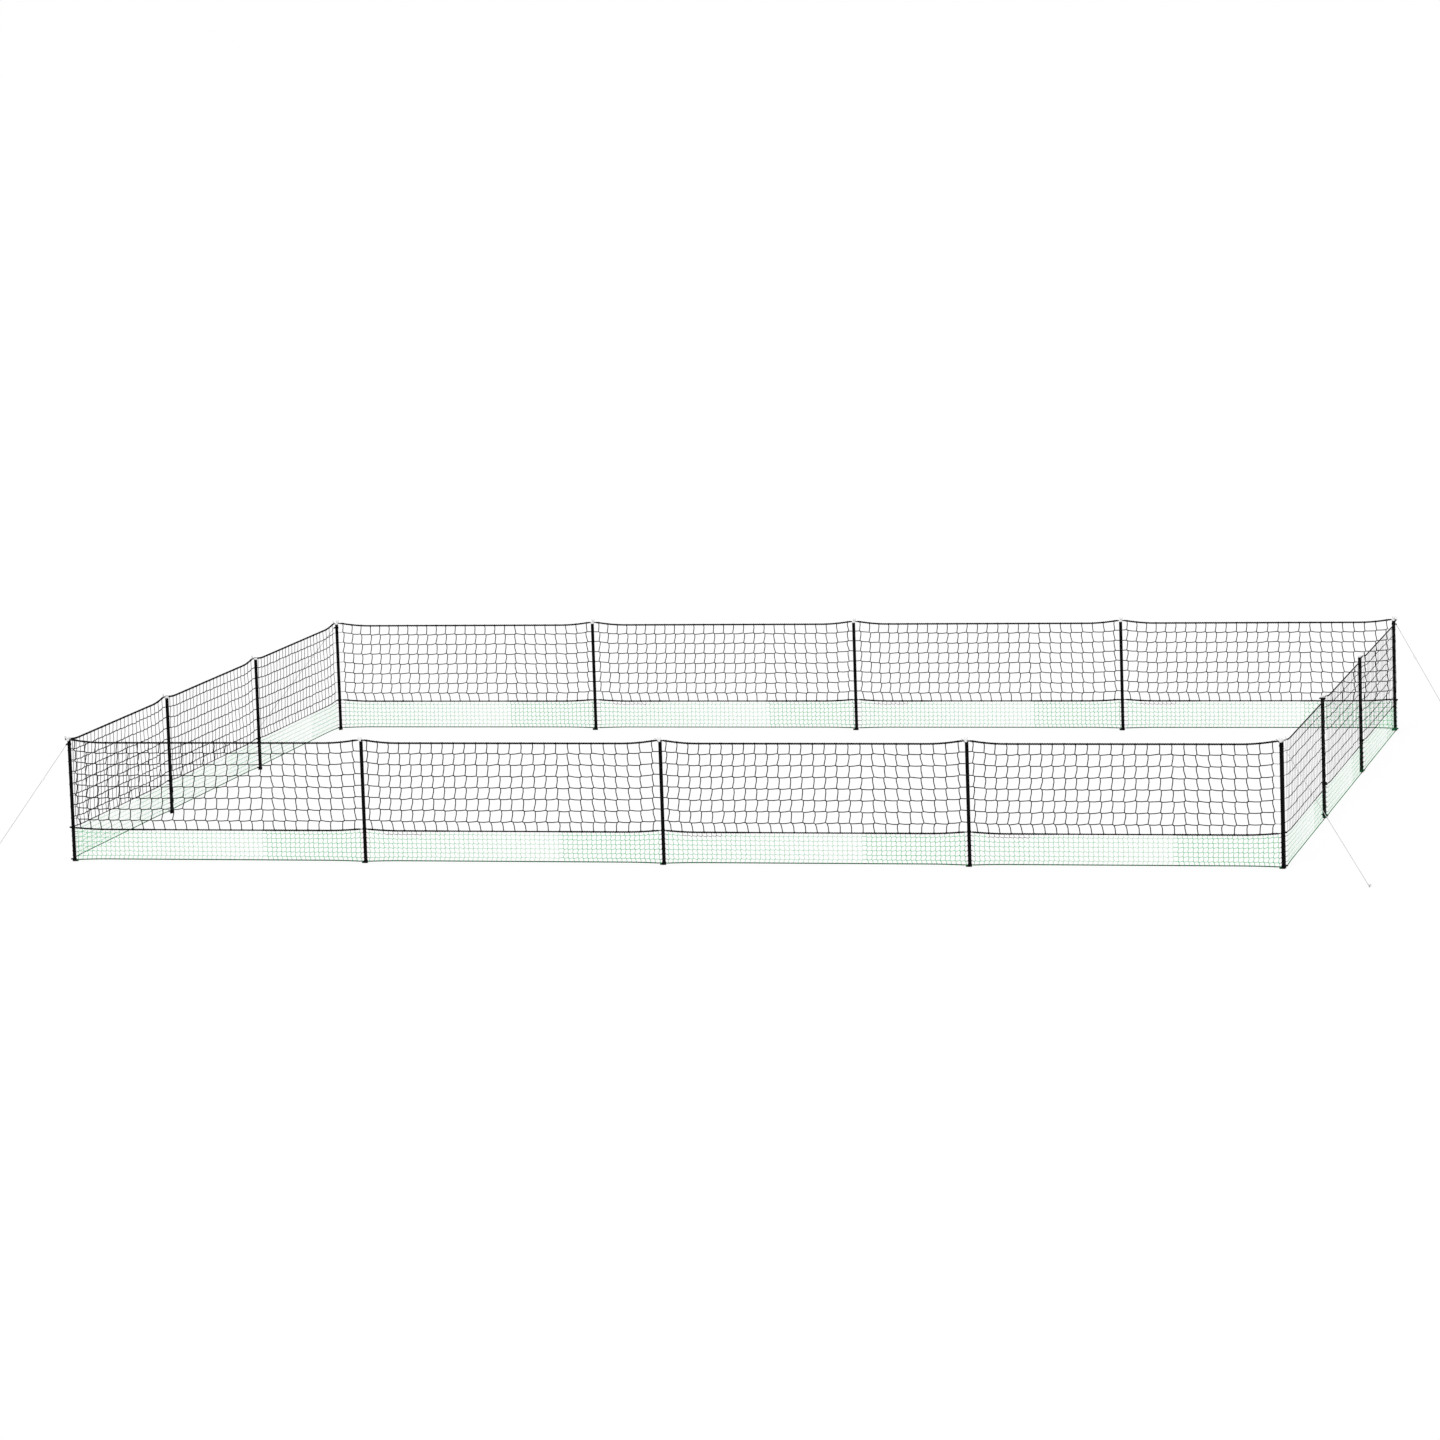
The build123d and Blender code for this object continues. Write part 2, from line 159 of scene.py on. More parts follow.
class Bay:
    """Ropes and nets between two posts of a side."""

    def __init__(self, side, first, last, gate=False):
        self.side, self.first, self.last, self.gate = side, first, last, gate
        self.length = last - first

    def place(self, offset):
        """Distance along the side of an offset from the bay's post, towards +X or +Y."""
        return self.first + offset if self.side.forward else self.last - offset

    def offset(self, distance):
        """The reverse of place."""
        return distance - self.first if self.side.forward else self.last - distance

    def hand(self, distance):
        """Which way knots slant along the side: 1 where their lower ends are further on."""
        early = self.offset(distance) < SLANT_TURNS * self.length
        return 1 if early == self.side.forward else -1

    def height(self, level, distance):
        """Height of a rope at a distance along the side."""
        rope = ROPES[level]
        if distance - self.first < self.length / 2:
            return rope.between + rise(distance - self.first, rope.post - rope.between)
        end = rope.loop if self.gate else rope.post
        return rope.between + rise(self.last - distance, end - rope.between)

    def on_rope(self, level, distance):
        return self.side.at(distance, self.height(level, distance))

    def girth(self, level, distance):
        """Thickness of a rope, as a share of its solid's: pressed in the fittings, and fluffed beyond."""
        if min(distance - self.first, self.last - distance) < FITTED_REACH:
            return FITTED_GIRTH
        low, high = (share * self.length for share in THIN_STRETCH)
        thin = level == "middle" and low < self.offset(distance) < high
        return GIRTHS[level][self.side.name] * (THIN_GIRTH if thin else 1.0)

    def rope_points(self, level):
        """Points along a rope with its girth there, closer together in its bends."""
        bend_steps, half_change = 14, 0.04
        bend = [STRAIGHT + BEND_LENGTH * step / bend_steps for step in range(bend_steps + 1)]
        stops = [self.first + stop for stop in [0, *bend]]
        for share in THIN_STRETCH:
            stops += [self.place(share * self.length + far) for far in (-half_change, half_change)]
        stops += [self.last - stop for stop in [*bend, 0]]
        return [(self.on_rope(level, stop), self.girth(level, stop)) for stop in sorted(stops)]


def bays(name):
    """The bays of one side that belong to the fence."""
    side = SIDES[name]
    first = 1 if name == "right" else 0
    return [Bay(side, panel * PITCH, (panel + 1) * PITCH) for panel in range(first, side.panels)]


GATE_BAY = Bay(SIDES["right"], GATE_GAP, PITCH, gate=True)
BODIES = {"fence": [bay for name in ORDER for bay in bays(name)], "gate": [GATE_BAY]}


def arc(centre, start, turn, radius, height, steps=8):
    """Points on a level circle, from a direction on through an angle."""
    points = []
    for step in range(steps + 1):
        direction = Matrix.Rotation(turn * step / steps, 3, "Z") @ start
        points.append(centre + direction * radius + UP * height)
    return points


# Settings

class FENCE_PG_nets(bpy.types.PropertyGroup):
    """Sizes and colours of the two nets."""

    upper_twine: FloatProperty(
        name="Upper twine", description="Diameter of the coarse net's twine", default=0.0106, unit="LENGTH"
    )
    upper_knot: FloatProperty(
        name="Upper knot", description="Length of a knot of the coarse net", default=0.0180, unit="LENGTH"
    )
    upper_strands: IntProperty(name="Upper strands", description="Upright strands in a bay", default=26)
    upper_rows: IntProperty(name="Upper rows", description="Rows of gaps in the coarse net", default=8)
    lower_twine: FloatProperty(
        name="Lower twine", description="Diameter of the fine net's twine", default=0.0031, unit="LENGTH"
    )
    lower_knot: FloatProperty(
        name="Lower knot", description="Length of a knot of the fine net", default=0.0155, unit="LENGTH"
    )
    lower_strands: IntProperty(name="Lower strands", description="Upright strands in a bay", default=63)
    lower_rows: IntProperty(name="Lower rows", description="Rows of gaps in the fine net", default=7)
    lacing: FloatProperty(
        name="Lacing", description="Diameter of the black lacing twine", default=0.0052, unit="LENGTH"
    )
    seed: IntProperty(name="Seed", description="Seed of the nets' unevenness", default=7)
    upper_colour: FloatVectorProperty(
        name="Upper colour", description="Coarse net", subtype="COLOR", size=3,
        default=(0.010, 0.010, 0.011),
    )
    lower_colour: FloatVectorProperty(
        name="Lower colour", description="Fine net", subtype="COLOR", size=3,
        default=(0.030, 0.50, 0.16),
    )


class FENCE_PG_ropes(bpy.types.PropertyGroup):
    """Sizes and colours of the ropes."""

    lay: FloatProperty(
        name="Lay", description="Length in which a strand goes once round", default=0.075, unit="LENGTH"
    )
    lobe: FloatProperty(
        name="Lobe", description="Depth of the strands, as a share of the radius", subtype="FACTOR",
        default=0.16,
    )
    hitch: FloatProperty(
        name="Hitch twine", description="Diameter of the hitches' twine round the ropes", unit="LENGTH",
        default=0.0036,
    )
    guy_diameter: FloatProperty(
        name="Guy rope", description="Diameter of the guy ropes", default=0.006, unit="LENGTH"
    )
    guy_lay: FloatProperty(
        name="Guy lay", description="Length of a turn in a guy rope", default=0.036, unit="LENGTH"
    )
    guy_lobe: FloatProperty(
        name="Guy lobe", description="Depth of a guy rope's strands", default=0.10, subtype="FACTOR"
    )
    black: FloatVectorProperty(
        name="Black rope", description="Ropes of the fence and the gate", subtype="COLOR", size=3,
        default=(0.007, 0.007, 0.008),
    )
    white: FloatVectorProperty(
        name="White rope", description="Guy ropes", subtype="COLOR", size=3,
        default=(0.50, 0.50, 0.495),
    )


class FENCE_PG_finishes(bpy.types.PropertyGroup):
    """Colours of the rigid pieces."""

    black_plastic: FloatVectorProperty(
        name="Black plastic", description="Posts, clips, feet and collars", subtype="COLOR", size=3,
        default=(0.002, 0.002, 0.0022),
    )
    white_plastic: FloatVectorProperty(
        name="White plastic", description="Caps and runners", subtype="COLOR", size=3,
        default=(0.78, 0.78, 0.79),
    )
    steel: FloatVectorProperty(
        name="Steel", description="Spikes and pegs", subtype="COLOR", size=3,
        default=(0.52, 0.53, 0.55),
    )


class FENCE_PG_stage(bpy.types.PropertyGroup):
    """Camera, floor and light."""

    camera_place: FloatVectorProperty(
        name="Camera", description="Camera's place over the ground", subtype="XYZ", unit="LENGTH",
        default=(13.992, -60.302, 9.49),
    )
    camera_yaw: FloatProperty(
        name="Yaw", description="Turn of the view to the left", subtype="ANGLE", default=radians(13.514)
    )
    camera_pitch: FloatProperty(
        name="Pitch", description="Downward tilt of the view", subtype="ANGLE", default=radians(7.983)
    )
    camera_roll: FloatProperty(
        name="Roll", description="Turn of the camera about its view", subtype="ANGLE",
        default=radians(-1.89),
    )
    lens: FloatProperty(name="Lens", description="Focal length, in millimetres", default=144.62)
    sky: FloatProperty(name="Sky", description="Strength of the light from all round", default=0.75)
    sun: FloatProperty(name="Sun", description="Strength of the main light", default=1.2)


# Finishes

class Finish:
    """A material under construction, with short names for what most of them need."""

    def __init__(self, name, roughness):
        self.material = bpy.data.materials.new(name)
        self.material.use_nodes = True
        self.nodes, self.links = self.material.node_tree.nodes, self.material.node_tree.links
        self.shader = self.nodes["Principled BSDF"]
        self.shader.inputs["Roughness"].default_value = roughness
        self.place = self.nodes.new("ShaderNodeTexCoord").outputs["Object"]

    def noise(self, scale, detail, stretch=(1, 1, 1)):
        """Noise on the piece's own coordinates, finer along an axis with a larger stretch."""
        mapping = self.nodes.new("ShaderNodeMapping")
        mapping.inputs["Scale"].default_value = stretch
        texture = self.nodes.new("ShaderNodeTexNoise")
        texture.inputs["Scale"].default_value = scale
        texture.inputs["Detail"].default_value = detail
        self.links.new(self.place, mapping.inputs["Vector"])
        self.links.new(mapping.outputs["Vector"], texture.inputs["Vector"])
        return texture.outputs["Fac"]

    def blend(self, share, low, high, low_at=0.3, high_at=0.7):
        """Colour that goes from low to high as the share does."""
        ramp = self.nodes.new("ShaderNodeValToRGB")
        first, last = ramp.color_ramp.elements
        first.position, last.position = low_at, high_at
        first.color, last.color = (*low, 1), (*high, 1)
        self.links.new(share, ramp.inputs["Fac"])
        return ramp.outputs["Color"]

    def colour(self, output):
        self.links.new(output, self.shader.inputs["Base Color"])

    def roughness(self, share, low, high):
        """Roughness that goes from low to high as the share does."""
        spread = self.nodes.new("ShaderNodeMapRange")
        spread.inputs["To Min"].default_value, spread.inputs["To Max"].default_value = low, high
        self.links.new(share, spread.inputs["Value"])
        self.links.new(spread.outputs["Result"], self.shader.inputs["Roughness"])

    def bump(self, height, distance, strength=0.5):
        """Fine relief, as deep as the distance."""
        node = self.nodes.new("ShaderNodeBump")
        node.inputs["Distance"].default_value, node.inputs["Strength"].default_value = distance, strength
        self.links.new(height, node.inputs["Height"])
        self.links.new(node.outputs["Normal"], self.shader.inputs["Normal"])


def shade(colour, factor):
    """A paler or darker form of a colour."""
    return [min(1.0, part * factor) for part in colour]


def fibre_finish(name, colour, fuzz):
    """Twisted polyethylene: matt, with paler and darker fibres."""
    finish = Finish(name, roughness=0.75)
    finish.shader.inputs["Specular IOR Level"].default_value = 0.06
    fibres = finish.noise(scale=420, detail=4.0)
    finish.colour(finish.blend(fibres, shade(colour, factor=0.7), shade(colour, factor=1.35)))
    finish.bump(finish.noise(scale=900, detail=2.0), distance=fuzz)
    return finish.material


def black_plastic_finish(colour):
    """Moulded black plastic, scuffed along its length."""
    finish = Finish("moulded_black_plastic", roughness=0.5)
    finish.shader.inputs["Specular IOR Level"].default_value = 0.03
    scuffs = finish.noise(scale=60, detail=5.0, stretch=(1, 1, 0.12))
    finish.colour(finish.blend(scuffs, colour, shade(colour, factor=2.5), low_at=0.5, high_at=0.8))
    finish.roughness(scuffs, low=0.38, high=0.62)
    finish.bump(finish.noise(scale=700, detail=2.0), distance=0.0001, strength=0.3)
    return finish.material


def white_plastic_finish(colour):
    """Moulded white plastic with a little grime."""
    finish = Finish("moulded_white_plastic", roughness=0.45)
    grime = finish.noise(scale=90, detail=4.0)
    finish.colour(finish.blend(grime, shade(colour, factor=0.86), colour, low_at=0.25, high_at=0.55))
    finish.roughness(grime, low=0.5, high=0.35)
    finish.bump(finish.noise(scale=800, detail=2.0), distance=0.0001, strength=0.25)
    return finish.material


def steel_finish(colour):
    """Zinc-plated steel rod, drawn along its length."""
    finish = Finish("drawn_zinc_steel", roughness=0.35)
    finish.shader.inputs["Metallic"].default_value = 1.0
    drawn = finish.noise(scale=220, detail=4.0, stretch=(1, 1, 0.05))
    finish.colour(finish.blend(drawn, shade(colour, factor=0.75), shade(colour, factor=1.15)))
    finish.roughness(drawn, low=0.28, high=0.5)
    finish.bump(drawn, distance=0.0001, strength=0.2)
    return finish.material


def fibre(context, name):
    """A twine's or a rope's finish by its name, made on its first use."""
    nets, ropes = context.scene.fence_nets, context.scene.fence_ropes
    kinds = {  # colour, and depth of the fuzz
        "black_twine": (nets.upper_colour, 0.0004),
        "green_twine": (nets.lower_colour, 0.0003),
        "black_rope": (ropes.black, 0.0006),
        "white_rope": (ropes.white, 0.0003),
    }
    known = f"fibres_of_{name}"  # apart from the frame's own materials
    return bpy.data.materials.get(known) or fibre_finish(known, *kinds[name])


# Geometry Nodes

class Tree:
    """A geometry node tree under construction."""

    def __init__(self, name, inputs):
        self.tree = bpy.data.node_groups.new(name, "GeometryNodeTree")
        self.sockets = {}
        for label, kind in {"Geometry": "Geometry", **inputs, "Material": "Material"}.items():
            socket = self.tree.interface.new_socket(label, in_out="INPUT", socket_type=f"NodeSocket{kind}")
            self.sockets[label] = socket.identifier
        self.tree.interface.new_socket("Geometry", in_out="OUTPUT", socket_type="NodeSocketGeometry")
        self.given = self.tree.nodes.new("NodeGroupInput").outputs

    def add(self, kind, inputs=None, **settings):
        """New node: inputs are values, or outputs of other nodes, by socket name or number."""
        node = self.tree.nodes.new(kind)
        for key, value in settings.items():
            setattr(node, key, value)
        for key, value in (inputs or {}).items():
            if isinstance(value, bpy.types.NodeSocket):
                self.tree.links.new(value, node.inputs[key])
            else:
                node.inputs[key].default_value = value
        return node

    def maths(self, operation, *values):
        return self.add("ShaderNodeMath", dict(enumerate(values)), operation=operation).outputs[0]

    def named(self, attribute, kind):
        node = self.add("GeometryNodeInputNamedAttribute", {"Name": attribute}, data_type=kind)
        return node.outputs["Attribute"]

    def facing(self, attribute):
        """Rotation that turns Z to a point's own direction."""
        direction = self.named(attribute, "FLOAT_VECTOR")
        turn = self.add("FunctionNodeAlignRotationToVector", {"Vector": direction}, axis="Z")
        return turn.outputs["Rotation"]

    def tube(self, path, diameter, sides, scale=1.0):
        """Round bar along curves."""
        radius = self.maths("DIVIDE", diameter, 2.0)
        ring = self.add("GeometryNodeCurvePrimitiveCircle", {"Resolution": sides, "Radius": radius})
        return self.swept(path, ring.outputs["Curve"], scale)

    def swept(self, path, section, scale=1.0):
        bar = self.add(
            "GeometryNodeCurveToMesh",
            {"Curve": path, "Profile Curve": section, "Fill Caps": True, "Scale": scale},
        )
        return self.smooth(bar.outputs["Mesh"])

    def smooth(self, mesh):
        return self.add("GeometryNodeSetShadeSmooth", {"Geometry": mesh}).outputs["Geometry"]

    def end(self, *shapes):
        """Joins the shapes, makes their instances real and sets the material."""
        joined = self.add("GeometryNodeJoinGeometry")
        for one in shapes:
            self.tree.links.new(one, joined.inputs["Geometry"])
        real = self.add("GeometryNodeRealizeInstances", {"Geometry": joined.outputs["Geometry"]})
        painted = self.add(
            "GeometryNodeSetMaterial",
            {"Geometry": real.outputs["Geometry"], "Material": self.given["Material"]},
        )
        self.add("NodeGroupOutput", {"Geometry": painted.outputs["Geometry"]})
        return self

    def make(self, name, source, **values):
        """A plain mesh object from a source mesh and the tree's inputs."""
        carrier = bpy.data.objects.new(f"{name}_source", source)
        bpy.context.scene.collection.objects.link(carrier)
        modifier = carrier.modifiers.new("Tree", "NODES")
        modifier.node_group = self.tree
        for label, value in values.items():
            modifier[self.sockets[label]] = value
        graph = bpy.context.evaluated_depsgraph_get()
        mesh = bpy.data.meshes.new_from_object(carrier.evaluated_get(graph))
        carrier.modifiers.remove(modifier)
        bpy.data.objects.remove(carrier)
        bpy.data.meshes.remove(source)
        if not mesh.polygons:
            raise RuntimeError(f"{name}: the tree gave no faces")
        mesh.name = name
        piece = bpy.data.objects.new(name, mesh)
        bpy.context.scene.collection.objects.link(piece)
        return piece


def net_tree():
    """Twine along every edge, and a slanted knot on every loose point."""
    tree = Tree("Knotted net", {"Twine": "Float", "Sides": "Int", "Slimness": "Float"})
    given = tree.given
    threads = tree.add("GeometryNodeMeshToCurve", {"Mesh": given["Geometry"]})
    girth = tree.named("girth", "FLOAT")
    twine = tree.tube(threads.outputs["Curve"], given["Twine"], given["Sides"], girth)
    size = tree.named("knot", "FLOAT")
    is_knot = tree.maths("GREATER_THAN", size, 0.0)
    points = tree.add("GeometryNodeMeshToPoints", {"Mesh": given["Geometry"], "Selection": is_knot})
    ball = tree.add("GeometryNodeMeshUVSphere", {"Segments": 6, "Rings": 5, "Radius": 0.5})
    thick = tree.maths("MULTIPLY", size, given["Slimness"])
    oblong = tree.add("ShaderNodeCombineXYZ", {"X": thick, "Y": thick, "Z": size})
    knots = tree.add(
        "GeometryNodeInstanceOnPoints",
        {
            "Points": points.outputs["Points"],
            "Instance": tree.smooth(ball.outputs["Mesh"]),
            "Rotation": tree.facing("slant"),
            "Scale": oblong.outputs["Vector"],
        },
    )
    return tree.end(twine, knots.outputs["Instances"])


def rope_tree():
    """Three strands laid round each other along a line."""
    tree = Tree("Laid rope", {"Radius": "Float", "Lay": "Float", "Lobe": "Float", "Step": "Float"})
    given = tree.given
    line = tree.add("GeometryNodeMeshToCurve", {"Mesh": given["Geometry"]})
    even = tree.add(
        "GeometryNodeResampleCurve",
        {"Curve": line.outputs["Curve"], "Length": given["Step"]},
        mode="LENGTH",
    )
    along = tree.add("GeometryNodeSplineParameter").outputs["Length"]
    turn = tree.maths("MULTIPLY", tree.maths("DIVIDE", along, given["Lay"]), tau)
    laid = tree.add("GeometryNodeSetCurveTilt", {"Curve": even.outputs["Curve"], "Tilt": turn})
    strands, sides = 3, 9
    ring = tree.add("GeometryNodeCurvePrimitiveCircle", {"Resolution": sides, "Radius": given["Radius"]})
    corner = tree.add("GeometryNodeInputIndex").outputs["Index"]
    wave = tree.maths("COSINE", tree.maths("MULTIPLY", corner, tau * strands / sides))
    swell = tree.maths("ADD", 1.0, tree.maths("MULTIPLY", wave, given["Lobe"]))
    spot = tree.add("GeometryNodeInputPosition").outputs["Position"]
    wide = tree.add("ShaderNodeVectorMath", {0: spot, "Scale": swell}, operation="SCALE").outputs["Vector"]
    section = tree.add("GeometryNodeSetPosition", {"Geometry": ring.outputs["Curve"], "Position": wide})
    girth = tree.named("girth", "FLOAT")
    return tree.end(tree.swept(laid.outputs["Curve"], section.outputs["Geometry"], girth))


def coil_tree():
    """A short coil of twine at every point, along the point's own direction."""
    tree = Tree("Coils", {"Radius": "Float", "Twine": "Float", "Turns": "Float", "Length": "Float"})
    given = tree.given
    coil = tree.add(
        "GeometryNodeCurveSpiral",
        {
            "Resolution": 7,
            "Rotations": given["Turns"],
            "Start Radius": given["Radius"],
            "End Radius": given["Radius"],
            "Height": given["Length"],
        },
    )
    half = tree.maths("MULTIPLY", given["Length"], -0.5)
    down = tree.add("ShaderNodeCombineXYZ", {"Z": half}).outputs["Vector"]
    centred = tree.add("GeometryNodeTransform", {"Geometry": coil.outputs["Curve"], "Translation": down})
    turns = tree.tube(centred.outputs["Geometry"], given["Twine"], sides=3)
    points = tree.add("GeometryNodeMeshToPoints", {"Mesh": given["Geometry"]})
    girth = tree.named("girth", "FLOAT")
    wide = tree.add("ShaderNodeCombineXYZ", {"X": girth, "Y": girth, "Z": 1.0})
    placed = tree.add(
        "GeometryNodeInstanceOnPoints",
        {
            "Points": points.outputs["Points"],
            "Instance": turns,
            "Rotation": tree.facing("along"),
            "Scale": wide.outputs["Vector"],
        },
    )
    return tree.end(placed.outputs["Instances"])


# Sources for the trees

class Lattice:
    """Threads as chains of edges, and knots as loose points that have a size and a slant."""

    def __init__(self):
        self.points, self.edges, self.girths, self.sizes, self.slants = [], [], [], [], []

    def thread(self, *points, girth=1.0):
        first = len(self.points)
        self.points += points
        self.girths += [girth] * len(points)
        self.sizes += [0.0] * len(points)
        self.slants += [UP] * len(points)
        self.edges += [(at, at + 1) for at in range(first, len(self.points) - 1)]

    def knot(self, point, size, slant):
        self.points.append(point)
        self.girths.append(1.0)
        self.sizes.append(size)
        self.slants.append(slant)

    def mesh(self, name):
        mesh = bpy.data.meshes.new(f"{name}_lattice")
        mesh.from_pydata(self.points, self.edges, [])
        mesh.attributes.new("girth", "FLOAT", "POINT").data.foreach_set("value", self.girths)
        mesh.attributes.new("knot", "FLOAT", "POINT").data.foreach_set("value", self.sizes)
        flat = [part for slant in self.slants for part in slant]
        mesh.attributes.new("slant", "FLOAT_VECTOR", "POINT").data.foreach_set("vector", flat)
        return mesh


def line_mesh(name, points, girths=None):
    """A chain of edges through points, each with a girth."""
    mesh = bpy.data.meshes.new(f"{name}_line")
    mesh.from_pydata(points, [(at, at + 1) for at in range(len(points) - 1)], [])
    girths = girths or [1.0] * len(points)
    mesh.attributes.new("girth", "FLOAT", "POINT").data.foreach_set("value", girths)
    return mesh


def spot_mesh(name, spots):
    """Loose points, each with a direction and the girth of the rope there."""
    points, directions, girths = zip(*spots)
    mesh = bpy.data.meshes.new(f"{name}_spots")
    mesh.from_pydata(points, [], [])
    flat = [part for along in directions for part in along]
    mesh.attributes.new("along", "FLOAT_VECTOR", "POINT").data.foreach_set("vector", flat)
    mesh.attributes.new("girth", "FLOAT", "POINT").data.foreach_set("value", girths)
    return mesh


def spline_points(name, route):
    """Points along the NURBS spline of a route."""
    curve = bpy.data.curves.new(name, "CURVE")
    curve.dimensions = "3D"
    spline = curve.splines.new("NURBS")
    spline.points.add(len(route) - 1)
    for point, place in zip(spline.points, route):
        point.co = (*place, 1)
    spline.order_u = 3
    spline.use_endpoint_u = True
    carrier = bpy.data.objects.new(name, curve)
    bpy.context.scene.collection.objects.link(carrier)
    mesh = bpy.data.meshes.new_from_object(carrier)
    points = [vertex.co.copy() for vertex in mesh.vertices]
    bpy.data.objects.remove(carrier)
    bpy.data.curves.remove(curve)
    bpy.data.meshes.remove(mesh)
    return points


def dress(piece, body, slot, *nodes):
    """Hangs a finished piece on its body, in place of the nodes that it stands for."""
    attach(piece, body)
    if nodes:
        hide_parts(*nodes)


# Nets

TIE_TURN = radians(300)  # of a thread round a post where a net ends
TIE_STEPS = 14
TIE_GAP = 0.0005  # between a post and what is tied round it
LACING_SIDES = 5


class Knot:
    """Middle of a knot, and the way from there to its lower end."""

    def __init__(self, place, slant, laced=False):
        self.place, self.slant, self.laced = place, slant, laced

    def end(self, direction):
        """The end of the knot that points in a direction."""
        return self.place + self.slant * (1 if self.slant.dot(direction) > 0 else -1)


class NetWeave:
    """Threads and knots of one net, bay after bay.

    A net's girths are those of the uprights and of the rows on each side, as shares of the twine's diameter.
    Its knots stray by lift, depth and wander, which are upwards, outwards and along. A knot's lower end is
    knot_run along and knot_drop down from its middle, and its slimness is its thickness as a share of its
    length. Uprights bend sideways by belly, give or take bow, and rows hang by sag.
    """

    knot_turn = 0.25  # most by which a knot strays from its direction
    knot_sizes = (0.8, 1.2)  # shares of the usual size, from the smallest to the largest
    belly_at, belly_ends_at = 0.35, 0.75  # where an upright bends between two knots, as shares from the top
    belly_left = 0.3  # bend at the second of these, as a share of the first
    hinge_lift = 0.0  # of the gate's ties on the post that it turns on

    def __init__(self, nets):
        half = self.half
        self.strands, self.rows = getattr(nets, f"{half}_strands"), getattr(nets, f"{half}_rows")
        self.twine, self.knot = getattr(nets, f"{half}_twine"), getattr(nets, f"{half}_knot")
        self.lacing_twine, self.tie_girth = nets.lacing, nets.lacing / self.twine
        self.random = Random(nets.seed)
        self.lattice, self.lacing = Lattice(), Lattice()

    def uneven(self, size):
        return self.random.uniform(-size, size)

    def is_laced(self, bay, stop, row):
        """Whether a knot is of black lacing twine."""
        return False

    def fullness(self, bay, stop):
        """Thickness of the twine at a place in a bay, as a share of its thickness on that side."""
        return 1.0

    def strand(self, bay, stop):
        """One upright strand, as its knots from the lower rope up."""
        along, hand = bay.side.along, bay.hand(stop)
        girth = self.girths[bay.side.name][0]
        scale = sqrt(girth)
        slant = (along * (self.knot_run * hand) - UP * self.knot_drop) * scale
        knots = [Knot(bay.on_rope(self.lower, stop + self.foot_shift(bay, stop)), Vector())]
        for row in range(1, self.rows):
            distance = stop + self.uneven(self.wander)
            low, high = (bay.height(level, distance) for level in (self.lower, self.upper))
            height = low + self.row_height(row, high - low) + self.uneven(self.lift)
            place = bay.side.at(distance, height, self.uneven(self.depth))
            knot = Knot(place, slant, self.is_laced(bay, stop, row))
            knots.append(knot)
            turned = slant.normalized() + (along + UP) * self.uneven(self.knot_turn)
            size = self.knot * self.random.uniform(*self.knot_sizes) * scale
            if not knot.laced:
                size *= sqrt(self.fullness(bay, stop))
            self.holder(knot).knot(place, size, turned)
        knots.append(Knot(bay.on_rope(self.upper, stop), Vector(), knots[-1].laced))
        for low, high in zip(knots, knots[1:]):
            start, end = high.place + high.slant, low.place - low.slant
            belly = along * (self.belly * hand + self.uneven(self.bow))
            bent = start.lerp(end, self.belly_at) + belly
            straighter = start.lerp(end, self.belly_ends_at) + belly * self.belly_left
            self.hang((start, bent, straighter, end), girth, (low, high), bay, stop)
        return knots

    def holder(self, *knots):
        """The lattice for a thread or a knot: the lacing's where all of it is laced."""
        return self.lacing if all(knot.laced for knot in knots) else self.lattice

    def hang(self, thread, girth, knots, bay, stop):
        """Thread between two knots, as full as the net is at that place unless it is laced."""
        holder = self.holder(*knots)
        full = self.fullness(bay, stop) if holder is self.lattice else 1.0
        holder.thread(*thread, girth=girth * full)

    def cross(self, left, right, bay, stop):
        """Threads from one strand's knots to those of the next, which stands at a stop."""
        along, girth = bay.side.along, self.girths[bay.side.name][1]
        for row in range(1, self.rows):
            start, end = left[row].end(along), right[row].end(-along)
            sag = UP * (self.sag + self.uneven(self.sag))
            self.hang((start, (start + end) / 2 - sag, end), girth, (left[row], right[row]), bay, stop)

    @property
    def reach(self):
        """Distance of a tie's middle from the axis of a post that it touches."""
        return POST_RADIUS + self.lacing_twine / 2 + TIE_GAP

    @property
    def ties(self):
        """The lattice for what goes round the posts."""
        return self.lattice

    def round_corner(self, name, left, right):
        """Threads from one side's last strand, round the corner post to the next side's first."""
        side = SIDES[name]
        for row in range(1, self.rows):
            height = (left[row].place.z + right[row].place.z) / 2
            turn = arc(side.start, -side.along, pi / 2, self.reach, height)
            route = left[row].end(side.outward), *turn, right[row].end(-side.along)
            self.ties.thread(*route, girth=self.tie_girth)

    def tie(self, knots, post, side, sign, lift=0.0):
        """Threads from an outermost strand, tied round a post that is further along or back."""
        for row in range(1, self.rows):
            height = knots[row].place.z + lift
            loop = arc(post, side.outward, TIE_TURN * sign, self.reach, height, TIE_STEPS)
            self.ties.thread(knots[row].end(side.along * sign), *loop, girth=self.tie_girth)

    def past_post(self, left, right, bay):
        """Threads from one bay's last strand to the next bay's first."""
        self.cross(left, right, bay, bay.first)

    def run(self, chain):
        """Weaves bays in order, and gives the first and the last strand."""
        first = last = None
        for bay in chain:
            stops = self.stops(bay)
            for stop in stops:
                knots = self.strand(bay, stop)
                if last and stop == stops[0]:
                    self.past_post(last, knots, bay)
                elif last:
                    self.cross(last, knots, bay, stop)
                first, last = first or knots, knots
        return first, last


